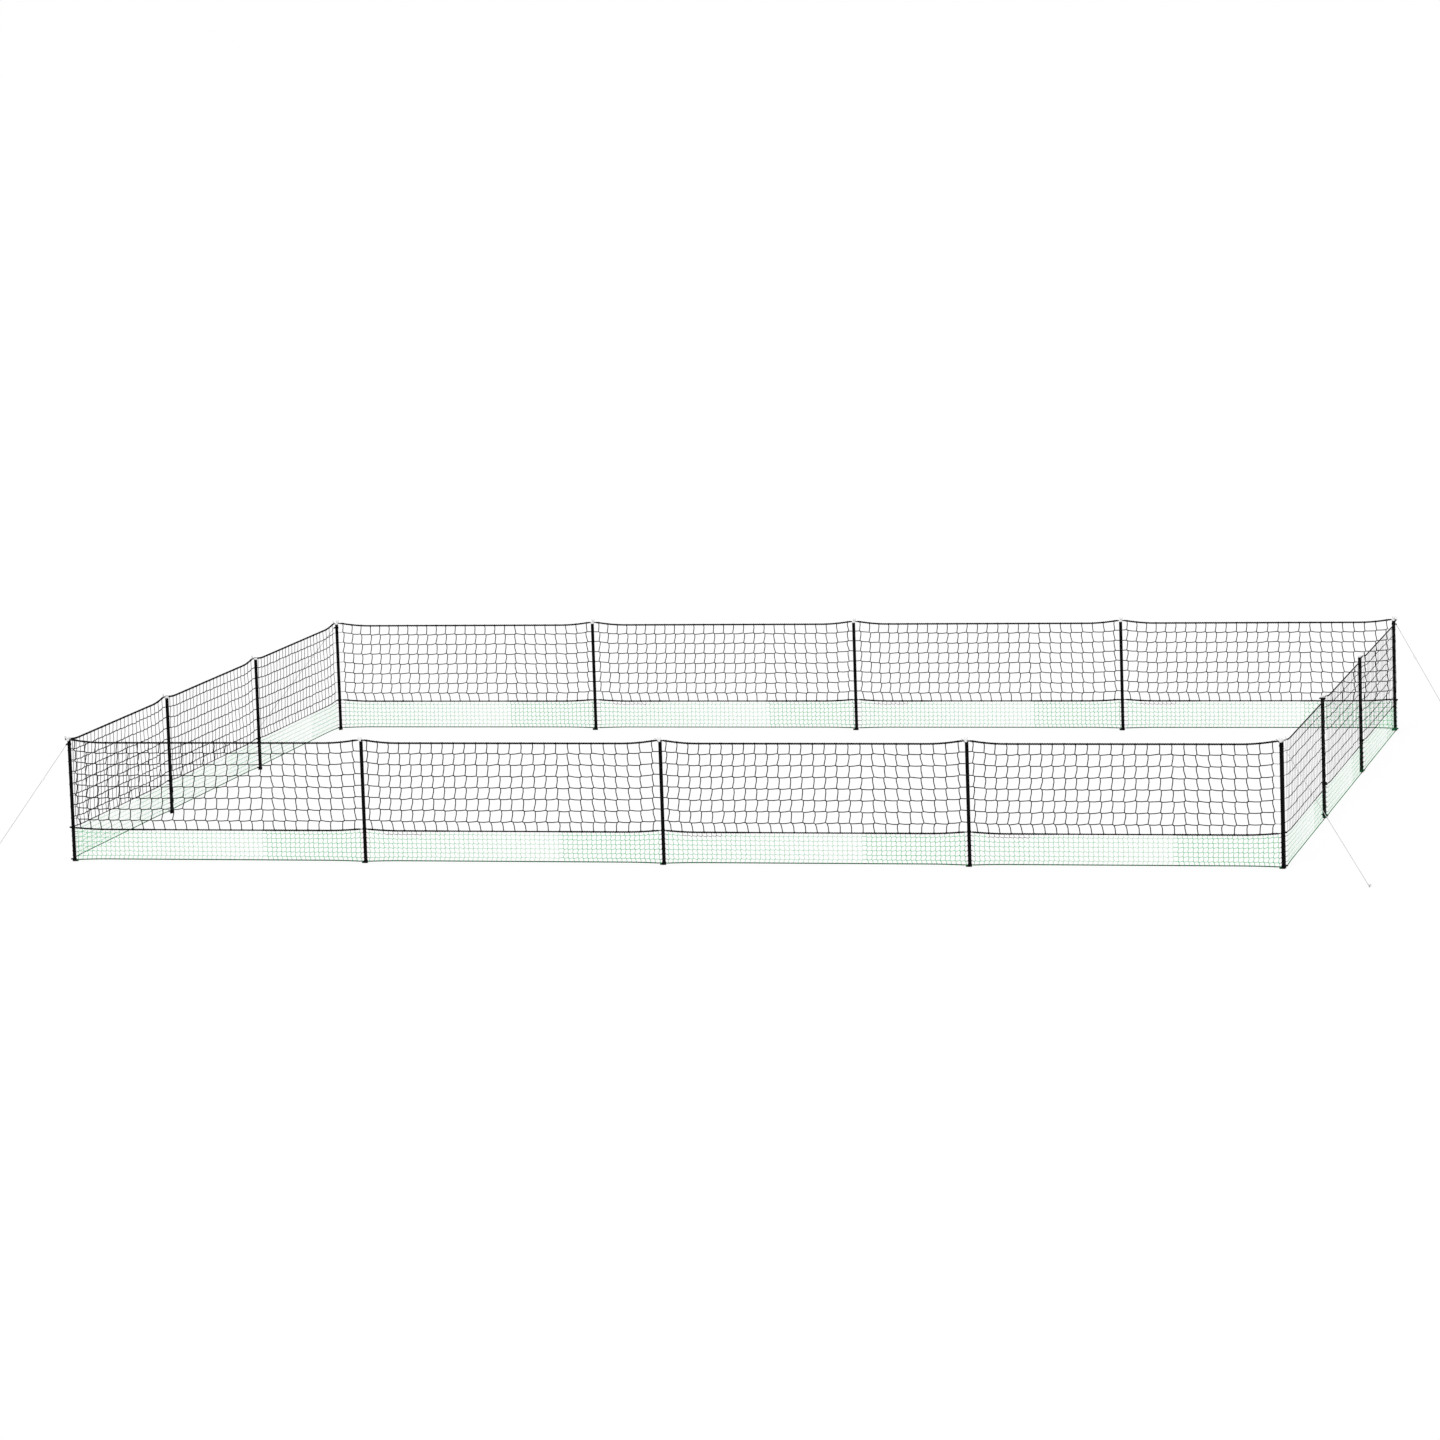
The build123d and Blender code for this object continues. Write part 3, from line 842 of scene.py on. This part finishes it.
def weave_fence(weave):
    """A net round the fence, as one lattice for each side."""
    lattices, end = {}, None
    for name in ORDER:
        weave.lattice = lattices[name] = Lattice()
        first, last = weave.run(bays(name))
        if end:
            weave.round_corner(name, end, first)
        else:
            weave.tie(first, HINGE, SIDES[name], -1)
        end = last
    weave.tie(end, SIDES["right"].start, SIDES["front"], 1)
    return lattices


def weave_gate(weave):
    """The gate's net, tied to its end post, and looped round the post that it turns on."""
    weave.lattice = Lattice()
    side = SIDES["right"]
    first, last = weave.run([GATE_BAY])
    weave.tie(first, middle_of("gate_end_post"), side, -1)
    weave.tie(last, HINGE, side, 1, weave.hinge_lift)
    return {"gate": weave.lattice}


class UpperNet(NetWeave):
    """Coarse black net, from the middle rope to the top rope."""

    half, upper, lower = "upper", "top", "middle"
    finish, slot, sides = "black_twine", "black_net", 5
    lift, depth, wander, bow, sag = 0.004, 0.003, 0.005, 0.002, 0.002
    knot_run, knot_drop, belly, slimness = 0.0075, 0.004, 0.0045, 0.66
    girths = {"front": (1.0, 1.0), "right": (0.30, 0.70), "back": (1.0, 1.0), "left": (0.6, 1.0)}
    first_gap, last_gap = 0.069, 0.079  # from a bay's posts to its outermost strands
    spread = 0.065  # strands stand this much closer at a bay's start, and wider at its end
    foot_pull = 0.026  # strands are drawn sideways where they meet the middle rope
    pull_fades = 0.2  # share of a bay in which the pull changes by its full size
    pull_at_turn, least_pull = 0.3, -0.65  # where the slant turns, and beyond
    low_row, high_row = 0.108, 0.118  # share of the height that the lowest and the highest row take
    hinge_lift = -0.035  # keeps them off the fence's

    def stops(self, bay):
        room = bay.length - self.first_gap - self.last_gap
        shares = [strand / (self.strands - 1) for strand in range(self.strands)]
        even = [share + self.spread * share * (share - 1) for share in shares]
        return sorted(bay.place(self.first_gap + room * share) for share in even)

    def row_height(self, row, height):
        return height * (self.low_row + (1 - self.low_row - self.high_row) * (row - 1) / (self.rows - 2))

    def foot_shift(self, bay, stop):
        left = SLANT_TURNS - bay.offset(stop) / bay.length
        pull = self.foot_pull * min(max(left / self.pull_fades + self.pull_at_turn, self.least_pull), 1.0)
        return pull if bay.side.forward else -pull


class LowerNet(NetWeave):
    """Fine green net, from the bottom rope to the middle rope, with black lacing and ties."""

    half, upper, lower = "lower", "middle", "bottom"
    finish, slot, sides = "green_twine", "green_net", 4
    lift, depth, wander, bow, sag = 0.002, 0.002, 0.0025, 0.0015, 0.001
    girths = {"front": (1.0, 1.0), "right": (0.21, 0.68), "back": (1.0, 1.0), "left": (0.33, 0.91)}
    before_turn, beyond_turn = (1.40, 0.70), (1.38, 1.55)  # fullness at the ends of a bay's two stretches
    knot_run, knot_drop, belly, slimness = -0.0045, 0.0035, 0.0, 0.42
    foot_pull = 0.010  # strands lean where they meet the bottom rope
    first_row, last_row = 0.037, 0.038  # rows next to the middle and the bottom rope
    start_share = 0.2  # of a strand's pitch, by which they stand past whole pitches from a post
    lacing_start, lacing_end = 0.185, 0.610  # of the top row's lacing, from the inner posts
    dark_start, dark_end = 0.060, 0.360  # before the posts of the right side, where the whole net is black
    post_tie_lead = radians(40)  # of a tie round a post between two bays, before and beyond its full turn
    post_tie_climb = 1.2  # of such a tie, in its own diameters
    post_tie_steps = 18

    def __init__(self, nets):
        super().__init__(nets)
        self.tie_girth = 1.0

    def stops(self, bay):
        """The strand that would stand before a post is left out."""
        pitch = bay.length / self.strands
        strands = range(1, self.strands)
        return sorted(bay.place(pitch * (strand + self.start_share)) for strand in strands)

    def row_height(self, row, height):
        return self.last_row + (height - self.first_row - self.last_row) * (row - 1) / (self.rows - 2)

    def foot_shift(self, bay, stop):
        return -self.foot_pull * bay.hand(stop)

    def fullness(self, bay, stop):
        share = bay.offset(stop) / bay.length
        if share < SLANT_TURNS:
            (start, end), part = self.before_turn, share / SLANT_TURNS
        else:
            (start, end), part = self.beyond_turn, (share - SLANT_TURNS) / (1 - SLANT_TURNS)
        return start + (end - start) * part

    @property
    def ties(self):
        return self.lacing

    def past_post(self, left, right, bay):
        """Black ties from one bay's last strand to the next bay's first, each with a turn round the post."""
        side, steps, lead = bay.side, self.post_tie_steps, self.post_tie_lead
        post = side.start + side.along * bay.first
        start = Matrix.Rotation(-lead, 3, "Z") @ side.outward
        climb = UP * self.lacing_twine * self.post_tie_climb
        for row in range(1, self.rows):
            height = (left[row].place.z + right[row].place.z) / 2
            turn = arc(post, start, tau + 2 * lead, self.reach, height, steps)
            turn = [point + climb * (step / steps - 0.5) for step, point in enumerate(turn)]
            self.ties.thread(left[row].end(side.along), *turn, right[row].end(-side.along))

    def is_laced(self, bay, stop, row):
        """Whether a knot is black: before a right post, or in the row laced to the rope beside a post."""
        if bay.side is SIDES["right"]:
            return self.dark_start < bay.last - stop < self.dark_end
        if row < self.rows - 1 or bay.side is SIDES["left"]:
            return False
        post = bay.place(0.0)
        at_corner = not PITCH / 2 < post < bay.side.length - PITCH / 2
        return not at_corner and self.lacing_start < bay.offset(stop) < self.lacing_end


def make_net(context, weave):
    """One half of the netting, as a piece for each side and one for the gate."""
    tree = net_tree()
    for body, weaving in {"fence": weave_fence, "gate": weave_gate}.items():
        weave.lacing = Lattice()
        for name, lattice in weaving(weave).items():
            piece = tree.make(
                f"{name}_{weave.half}_mesh", lattice.mesh(name), Twine=weave.twine, Sides=weave.sides,
                Slimness=weave.slimness, Material=fibre(context, weave.finish),
            )
            dress(piece, body, weave.slot, f"{name}_{weave.half}_net")
        if weave.lacing.points:
            piece = tree.make(
                f"{body}_lacing", weave.lacing.mesh(body), Twine=weave.lacing_twine, Sides=LACING_SIDES,
                Slimness=weave.slimness, Material=fibre(context, "black_twine"),
            )
            dress(piece, body, "black_net")


class FENCE_OT_upper_nets(bpy.types.Operator):
    """Weave the coarse black net of the fence and the gate"""

    bl_idname = "fence.upper_nets"
    bl_label = "Upper nets"

    def execute(self, context):
        make_net(context, UpperNet(context.scene.fence_nets))
        return {"FINISHED"}


class FENCE_OT_lower_nets(bpy.types.Operator):
    """Weave the fine green net of the fence and the gate, with its black lacing"""

    bl_idname = "fence.lower_nets"
    bl_label = "Lower nets"

    def execute(self, context):
        make_net(context, LowerNet(context.scene.fence_nets))
        return {"FINISHED"}


# Ropes

STEPS_IN_LAY = 9
GATE_EYE_TURN = radians(330)
GATE_EYE_STEPS = 30
SAME_PLACE = 1e-5  # points closer than this are one


def corner_points(name, height):
    """Turn of a rope round the corner post where a side starts."""
    side = SIDES[name]
    centre = side.start + (side.outward - side.along) * CORNER_BEND
    return arc(centre, -side.along, pi / 2, NET_OFFSET - CORNER_BEND, height)


def fitted(points):
    """Points at a post, with the girth that a rope has there."""
    return [(point, FITTED_GIRTH) for point in points]


def without_repeats(points):
    """Points with their girths, without those at the place of the one before."""
    kept = points[:1]
    for point, girth in points[1:]:
        if (point - kept[-1][0]).length > SAME_PLACE:
            kept.append((point, girth))
    return kept


def fence_rope_points(level):
    """Line of a rope from the turning post round the pen to the closing corner."""
    height = ROPES[level].post
    points = fitted([SIDES["right"].at(PITCH - ROPE_TAIL, height)])
    for name in ORDER:
        if name != ORDER[0]:
            points += fitted(corner_points(name, height))
        for bay in bays(name):
            points += bay.rope_points(level)
    points += fitted([SIDES["front"].at(SIDES["front"].length + ROPE_TAIL, height)])
    return without_repeats(points)


def gate_rope_points(level):
    """Line of one of the gate's ropes, from its end post to an eye round the turning post."""
    rope, side = ROPES[level], SIDES["right"]
    points = fitted([side.at(GATE_GAP - ROPE_TAIL, rope.post)]) + GATE_BAY.rope_points(level)
    points += fitted(arc(HINGE, side.outward, GATE_EYE_TURN, NET_OFFSET, rope.loop, GATE_EYE_STEPS))
    return without_repeats(points)


class FENCE_OT_ropes(bpy.types.Operator):
    """Lay the three ropes of the fence and of the gate"""

    bl_idname = "fence.ropes"
    bl_label = "Ropes"

    def execute(self, context):
        ropes, tree = context.scene.fence_ropes, rope_tree()
        inputs = {"Lay": ropes.lay, "Lobe": ropes.lobe, "Step": ropes.lay / STEPS_IN_LAY}
        inputs["Material"] = fibre(context, "black_rope")
        runs = {"fence": ("", fence_rope_points), "gate": ("gate_", gate_rope_points)}
        for level in LEVELS:
            for body, (prefix, line) in runs.items():
                name = f"{prefix}{level}_rope"
                source = line_mesh(name, *zip(*line(level)))
                piece = tree.make(f"{name}_laid", source, Radius=ROPES[level].radius, **inputs)
                dress(piece, body, "black_rope", name)
        return {"FINISHED"}


def rope_spot(bay, level, distance):
    """A place on a rope, with the rope's direction and girth there."""
    reach = 0.004
    back, on = (bay.on_rope(level, distance + far) for far in (-reach, reach))
    return (back + on) / 2, (on - back).normalized(), bay.girth(level, distance)


HITCHES = {  # net, turns and length of the hitches on each rope
    "top": (UpperNet, 1.5, 0.010),
    "middle": (UpperNet, 2.5, 0.016),
    "bottom": (LowerNet, 2.5, 0.020),
}
EYE_BINDING_LENGTH = 0.032  # where the gate's ropes are bound beside their eyes
EYE_BINDING_TURNS = 8.0
EYE_BINDING_GAP = 0.026  # from the post's middle


def hitch_spots(weave, level, chain):
    """Places where a net's strands meet a rope, by the finish of the twine there."""
    spots = {weave.finish: [], "black_twine": []}
    for bay in chain:
        for stop in weave.stops(bay):
            shift = 0.0 if level == "top" else weave.foot_shift(bay, stop)
            finish = "black_twine" if weave.is_laced(bay, stop, 1) else weave.finish
            spots[finish].append(rope_spot(bay, level, stop + shift))
    return spots


class FENCE_OT_hitches(bpy.types.Operator):
    """Hitch the nets' strands to the ropes, and bind the gate's eyes"""

    bl_idname = "fence.hitches"
    bl_label = "Hitches"

    def execute(self, context):
        ropes, tree = context.scene.fence_ropes, coil_tree()
        for level, (net, turns, length) in HITCHES.items():
            weave = net(context.scene.fence_nets)
            inputs = {"Radius": ROPES[level].radius * (1 + ropes.lobe / 2), "Twine": ropes.hitch}
            for body, chain in BODIES.items():
                for finish, spots in hitch_spots(weave, level, chain).items():
                    piece = tree.make(
                        f"{body}_{level}_{finish}_hitches", spot_mesh(level, spots), Turns=turns,
                        Length=length, Material=fibre(context, finish), **inputs,
                    )
                    dress(piece, body, "black_net" if finish == "black_twine" else "green_net")
            spot = rope_spot(GATE_BAY, level, GATE_BAY.last - EYE_BINDING_GAP - EYE_BINDING_LENGTH / 2)
            piece = tree.make(
                f"gate_{level}_eye_binding", spot_mesh(level, [spot]), Turns=EYE_BINDING_TURNS,
                Length=EYE_BINDING_LENGTH, Material=fibre(context, "black_rope"), **inputs,
            )
            dress(piece, "gate", "black_rope")
        return {"FINISHED"}


# Tie ends beside the hooks of three front posts: distances along, over the rope's middle, and outwards

FIRST_TIE_END = 2  # its post, counted from the corner as 0
TIE_END_SIDES = 6
TIE_END = (
    (-0.0095, -0.008, -0.006),
    (-0.0165, -0.015, 0.005),
    (-0.0195, -0.007, 0.009),
    (-0.0220, 0.003, 0.009),
    (-0.0280, 0.012, 0.006),
    (-0.0350, 0.016, 0.003),
    (-0.0480, 0.019, 0.000),
)


class FENCE_OT_tie_ends(bpy.types.Operator):
    """Leave a tie's end standing beside the hooks of three front posts"""

    bl_idname = "fence.tie_ends"
    bl_label = "Tie ends"

    def execute(self, context):
        side, height = SIDES["front"], ROPES["top"].post
        lattice = Lattice()
        for post in range(FIRST_TIE_END, side.panels + 1):
            route = [side.at(post * PITCH + along, height + over, out) for along, over, out in TIE_END]
            lattice.thread(*spline_points("tie_end", route))
        piece = net_tree().make(
            "fence_tie_ends", lattice.mesh("tie_ends"), Twine=context.scene.fence_nets.lacing,
            Sides=TIE_END_SIDES, Slimness=1.0, Material=fibre(context, "black_twine"),
        )
        dress(piece, "fence", "black_net")
        return {"FINISHED"}


# Guy ropes: routes as the solids have them

GUY_HEIGHT = 1.218  # of a collar's lug over the ground
LUG_STANDOFF = 0.01065  # of the lug's middle from the post's surface
SOCKET_REACH = 0.012  # from there to where the rope leaves its socket
PEG_EYE_HEIGHT = 0.010
PEG_RING = 0.0078
PEG_LEAN = radians(20)
PEG_PLACES = {  # from the corner's post
    "front_left": (-0.75, -0.75, 0),
    "front_right": (0.97, -1.04, 0),
    "back_right": (0.7, 0, 0),
    "back_left": (-1.03, 0, 0),
}
GUY_LEAD = 6  # diameters from a guy rope's ends to the next points of its route
GUY_EYE_STEPS = 20
GUY_EYE_LAY = tau * PEG_RING * 3 / 4  # the strands meet again where the eye closes
GUY_EYE_STEPS_IN_LAY = 12
GUY_BINDING_TWINE = 0.0016
GUY_BINDING_TURNS = 14.0
GUY_BINDING_LENGTH = 0.024
GUY_BINDING_GAP = 0.008  # from the eye


class Guy:
    """A guy rope's ends and directions."""

    def __init__(self, corner, place):
        post = middle_of(f"{corner}_corner_post")
        outward = Vector(place).normalized()
        top = post + outward * (POST_RADIUS + LUG_STANDOFF) + UP * (GROUND + GUY_HEIGHT)
        self.eye = post + Vector(place) + UP * (GROUND + PEG_EYE_HEIGHT)
        down = -outward * sin(PEG_LEAN) - UP * cos(PEG_LEAN)
        self.away = (outward - down * outward.dot(down)).normalized()
        self.across = down.cross(self.away)
        self.end = self.eye - self.away * PEG_RING
        self.along = (self.end - top).normalized()
        self.start = top + self.along * SOCKET_REACH

    def route(self, diameter):
        """Socket and eye, with a point near each."""
        near = self.along * GUY_LEAD * diameter
        return [self.start, self.start + near, self.end - near, self.end]

    def ring(self):
        """The eye round the peg."""
        points = []
        for step in range(GUY_EYE_STEPS + 1):
            turn = tau * step / GUY_EYE_STEPS
            points.append(self.eye + (self.across * sin(turn) - self.away * cos(turn)) * PEG_RING)
        return points


class FENCE_OT_guy_ropes(bpy.types.Operator):
    """Stretch a guy rope from each corner to its peg"""

    bl_idname = "fence.guy_ropes"
    bl_label = "Guy ropes"

    def execute(self, context):
        ropes, laid, coils = context.scene.fence_ropes, rope_tree(), coil_tree()
        diameter, finish = ropes.guy_diameter, fibre(context, "white_rope")
        inputs = {"Radius": diameter / 2, "Lobe": ropes.guy_lobe, "Material": finish}
        for corner, place in PEG_PLACES.items():
            guy = Guy(corner, place)
            path = spline_points(corner, guy.route(diameter))
            line = laid.make(
                f"{corner}_guy_line", line_mesh(corner, path), Lay=ropes.guy_lay,
                Step=ropes.guy_lay / STEPS_IN_LAY, **inputs,
            )
            dress(line, "fence", "white_rope", f"{corner}_guy_rope")
            eye = laid.make(
                f"{corner}_guy_eye", line_mesh(corner, guy.ring()), Lay=GUY_EYE_LAY,
                Step=GUY_EYE_LAY / GUY_EYE_STEPS_IN_LAY, **inputs,
            )
            dress(eye, "fence", "white_rope")
            middle = guy.end - guy.along * (GUY_BINDING_LENGTH / 2 + GUY_BINDING_GAP)
            spot = middle, guy.along, 1.0
            binding = coils.make(
                f"{corner}_guy_binding", spot_mesh(corner, [spot]), Radius=diameter / 2,
                Twine=GUY_BINDING_TWINE, Turns=GUY_BINDING_TURNS, Length=GUY_BINDING_LENGTH, Material=finish,
            )
            dress(binding, "fence", "white_rope")
        return {"FINISHED"}


# Rigid pieces

POSTS = [
    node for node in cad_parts
    if node.endswith("_post") or "_post_" in node and node[-1].isdigit()
]


def paint(material, *nodes):
    """Gives the frame's own nodes a finish."""
    for node in nodes:
        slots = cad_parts[node].data.materials
        slots.clear()
        slots.append(material)


class FENCE_OT_plastic_pieces(bpy.types.Operator):
    """Finish the posts, caps, clips, feet, collars and runners"""

    bl_idname = "fence.plastic_pieces"
    bl_label = "Posts and fittings"

    def execute(self, context):
        finishes = context.scene.fence_finishes
        black = black_plastic_finish(finishes.black_plastic)
        clips, feet = ("middle_rope_clips", "gate_rope_clip"), ("post_feet", "gate_post_foot")
        paint(black, *POSTS, *clips, *feet, "guy_collars")
        white = white_plastic_finish(finishes.white_plastic)
        paint(white, "post_caps", "gate_post_cap", *(f"{corner}_guy_runner" for corner in PEG_PLACES))
        return {"FINISHED"}


class FENCE_OT_steel_pieces(bpy.types.Operator):
    """Finish the ground spikes and the pegs"""

    bl_idname = "fence.steel_pieces"
    bl_label = "Spikes and pegs"

    def execute(self, context):
        steel = steel_finish(context.scene.fence_finishes.steel)
        paint(steel, "ground_spikes", "gate_ground_spike", *(f"{corner}_guy_peg" for corner in PEG_PLACES))
        return {"FINISHED"}


# Stage

VIEW_LIMIT = 1000.0
FLOOR_HALF = 300.0
FLOOR_GREY = 0.9
FLOOR_GLOW = 1.02
SHADOW_SHARE = 0.12  # of the floor's own shading in what the camera sees
SUN_SPREAD = radians(25)
SUN_TURN = (radians(40), radians(12), radians(-25))


def seen_directly(nodes, links):
    """1 where the camera sees a surface itself, or in a mirror or through glass."""
    path = nodes.new("ShaderNodeLightPath")
    total = path.outputs["Is Camera Ray"]
    for name in ("Is Glossy Ray", "Is Transmission Ray"):
        add = nodes.new("ShaderNodeMath")
        add.use_clamp = True
        links.new(total, add.inputs[0])
        links.new(path.outputs[name], add.inputs[1])
        total = add.outputs[0]
    return total


def white_sky(strength):
    """Even light from all round, which looks plain white behind the object."""
    world = bpy.data.worlds.new("white_sky")
    world.use_nodes = True
    nodes, links = world.node_tree.nodes, world.node_tree.links
    background = nodes["Background"]
    background.inputs["Color"].default_value = (1, 1, 1, 1)
    level = nodes.new("ShaderNodeMix")
    level.inputs["A"].default_value, level.inputs["B"].default_value = strength, 1.0
    links.new(seen_directly(nodes, links), level.inputs["Factor"])
    links.new(level.outputs["Result"], background.inputs["Strength"])
    return world


def floor_finish():
    """White floor that shows plain white, with a trace of shadow."""
    material = bpy.data.materials.new("white_floor")
    material.use_nodes = True
    nodes, links = material.node_tree.nodes, material.node_tree.links
    shader = nodes["Principled BSDF"]
    shader.inputs["Base Color"].default_value = (FLOOR_GREY, FLOOR_GREY, FLOOR_GREY, 1)
    shader.inputs["Roughness"].default_value = 1.0
    shader.inputs["Specular IOR Level"].default_value = 0.0
    glow = nodes.new("ShaderNodeEmission")
    glow.inputs["Strength"].default_value = FLOOR_GLOW
    share = nodes.new("ShaderNodeMath")
    share.operation = "MULTIPLY"
    share.inputs[1].default_value = 1 - SHADOW_SHARE
    mix = nodes.new("ShaderNodeMixShader")
    links.new(seen_directly(nodes, links), share.inputs[0])
    links.new(share.outputs[0], mix.inputs["Fac"])
    links.new(shader.outputs["BSDF"], mix.inputs[1])
    links.new(glow.outputs["Emission"], mix.inputs[2])
    links.new(mix.outputs["Shader"], nodes["Material Output"].inputs["Surface"])
    return material


def set_camera(scene, settings):
    """Camera at its place over the ground, turned by its three angles."""
    yaw, pitch, roll = settings.camera_yaw, settings.camera_pitch, settings.camera_roll
    ahead = Vector((-sin(yaw) * cos(pitch), cos(yaw) * cos(pitch), -sin(pitch)))
    level_right = ahead.cross(UP).normalized()
    right = level_right * cos(roll) + level_right.cross(ahead) * sin(roll)
    axes = Matrix((right, right.cross(ahead), -ahead)).transposed()
    lens = bpy.data.cameras.new("camera")
    lens.lens = settings.lens
    lens.clip_end = VIEW_LIMIT
    camera = bpy.data.objects.new("camera", lens)
    camera.matrix_world = Matrix.Translation(Vector(settings.camera_place) + UP * GROUND) @ axes.to_4x4()
    scene.collection.objects.link(camera)
    scene.camera = camera


def lay_floor(scene):
    """Square floor at the level of the ground."""
    half = FLOOR_HALF
    mesh = bpy.data.meshes.new("floor")
    corners = [(-half, -half), (half, -half), (half, half), (-half, half)]
    mesh.from_pydata([(x, y, GROUND) for x, y in corners], [], [(0, 1, 2, 3)])
    mesh.materials.append(floor_finish())
    floor = bpy.data.objects.new("floor", mesh)
    scene.collection.objects.link(floor)


def set_light(scene, settings):
    """Sky and sun."""
    scene.world = white_sky(settings.sky)
    sun = bpy.data.lights.new("sun", "SUN")
    sun.energy = settings.sun
    sun.angle = SUN_SPREAD
    lamp = bpy.data.objects.new("sun", sun)
    lamp.rotation_euler = SUN_TURN
    scene.collection.objects.link(lamp)


class FENCE_OT_stage(bpy.types.Operator):
    """Set the camera, the floor and the light"""

    bl_idname = "fence.stage"
    bl_label = "Stage"

    def execute(self, context):
        scene, settings = context.scene, context.scene.fence_stage
        set_camera(scene, settings)
        lay_floor(scene)
        set_light(scene, settings)
        scene.view_settings.view_transform = "Standard"
        return {"FINISHED"}


class FENCE_PT_sidebar(bpy.types.Panel):
    """Buttons for each group of pieces"""

    bl_idname = "FENCE_PT_sidebar"
    bl_label = "Netting fence"
    bl_space_type = "VIEW_3D"
    bl_region_type = "UI"
    bl_category = "Netting fence"

    def draw(self, context):
        for operator in OPERATORS:
            self.layout.operator(operator.bl_idname)


GROUPS = {
    "fence_nets": FENCE_PG_nets,
    "fence_ropes": FENCE_PG_ropes,
    "fence_finishes": FENCE_PG_finishes,
    "fence_stage": FENCE_PG_stage,
}
OPERATORS = (
    FENCE_OT_stage,
    FENCE_OT_guy_ropes,
    FENCE_OT_plastic_pieces,
    FENCE_OT_steel_pieces,
    FENCE_OT_upper_nets,
    FENCE_OT_lower_nets,
    FENCE_OT_ropes,
    FENCE_OT_hitches,
    FENCE_OT_tie_ends,
)


def register():
    for one in (*GROUPS.values(), *OPERATORS, FENCE_PT_sidebar):
        bpy.utils.register_class(one)
    for name, group in GROUPS.items():
        setattr(bpy.types.Scene, name, PointerProperty(type=group))


def unregister():
    for name in GROUPS:
        delattr(bpy.types.Scene, name)
    for one in (FENCE_PT_sidebar, *reversed(OPERATORS), *GROUPS.values()):
        bpy.utils.unregister_class(one)


def main():
    register()
    bpy.ops.fence.stage()
    bpy.ops.fence.guy_ropes()
    bpy.ops.fence.plastic_pieces()
    bpy.ops.fence.steel_pieces()
    bpy.ops.fence.upper_nets()
    bpy.ops.fence.lower_nets()
    bpy.ops.fence.ropes()
    bpy.ops.fence.hitches()
    bpy.ops.fence.tie_ends()


if __name__ == "__main__":
    main()
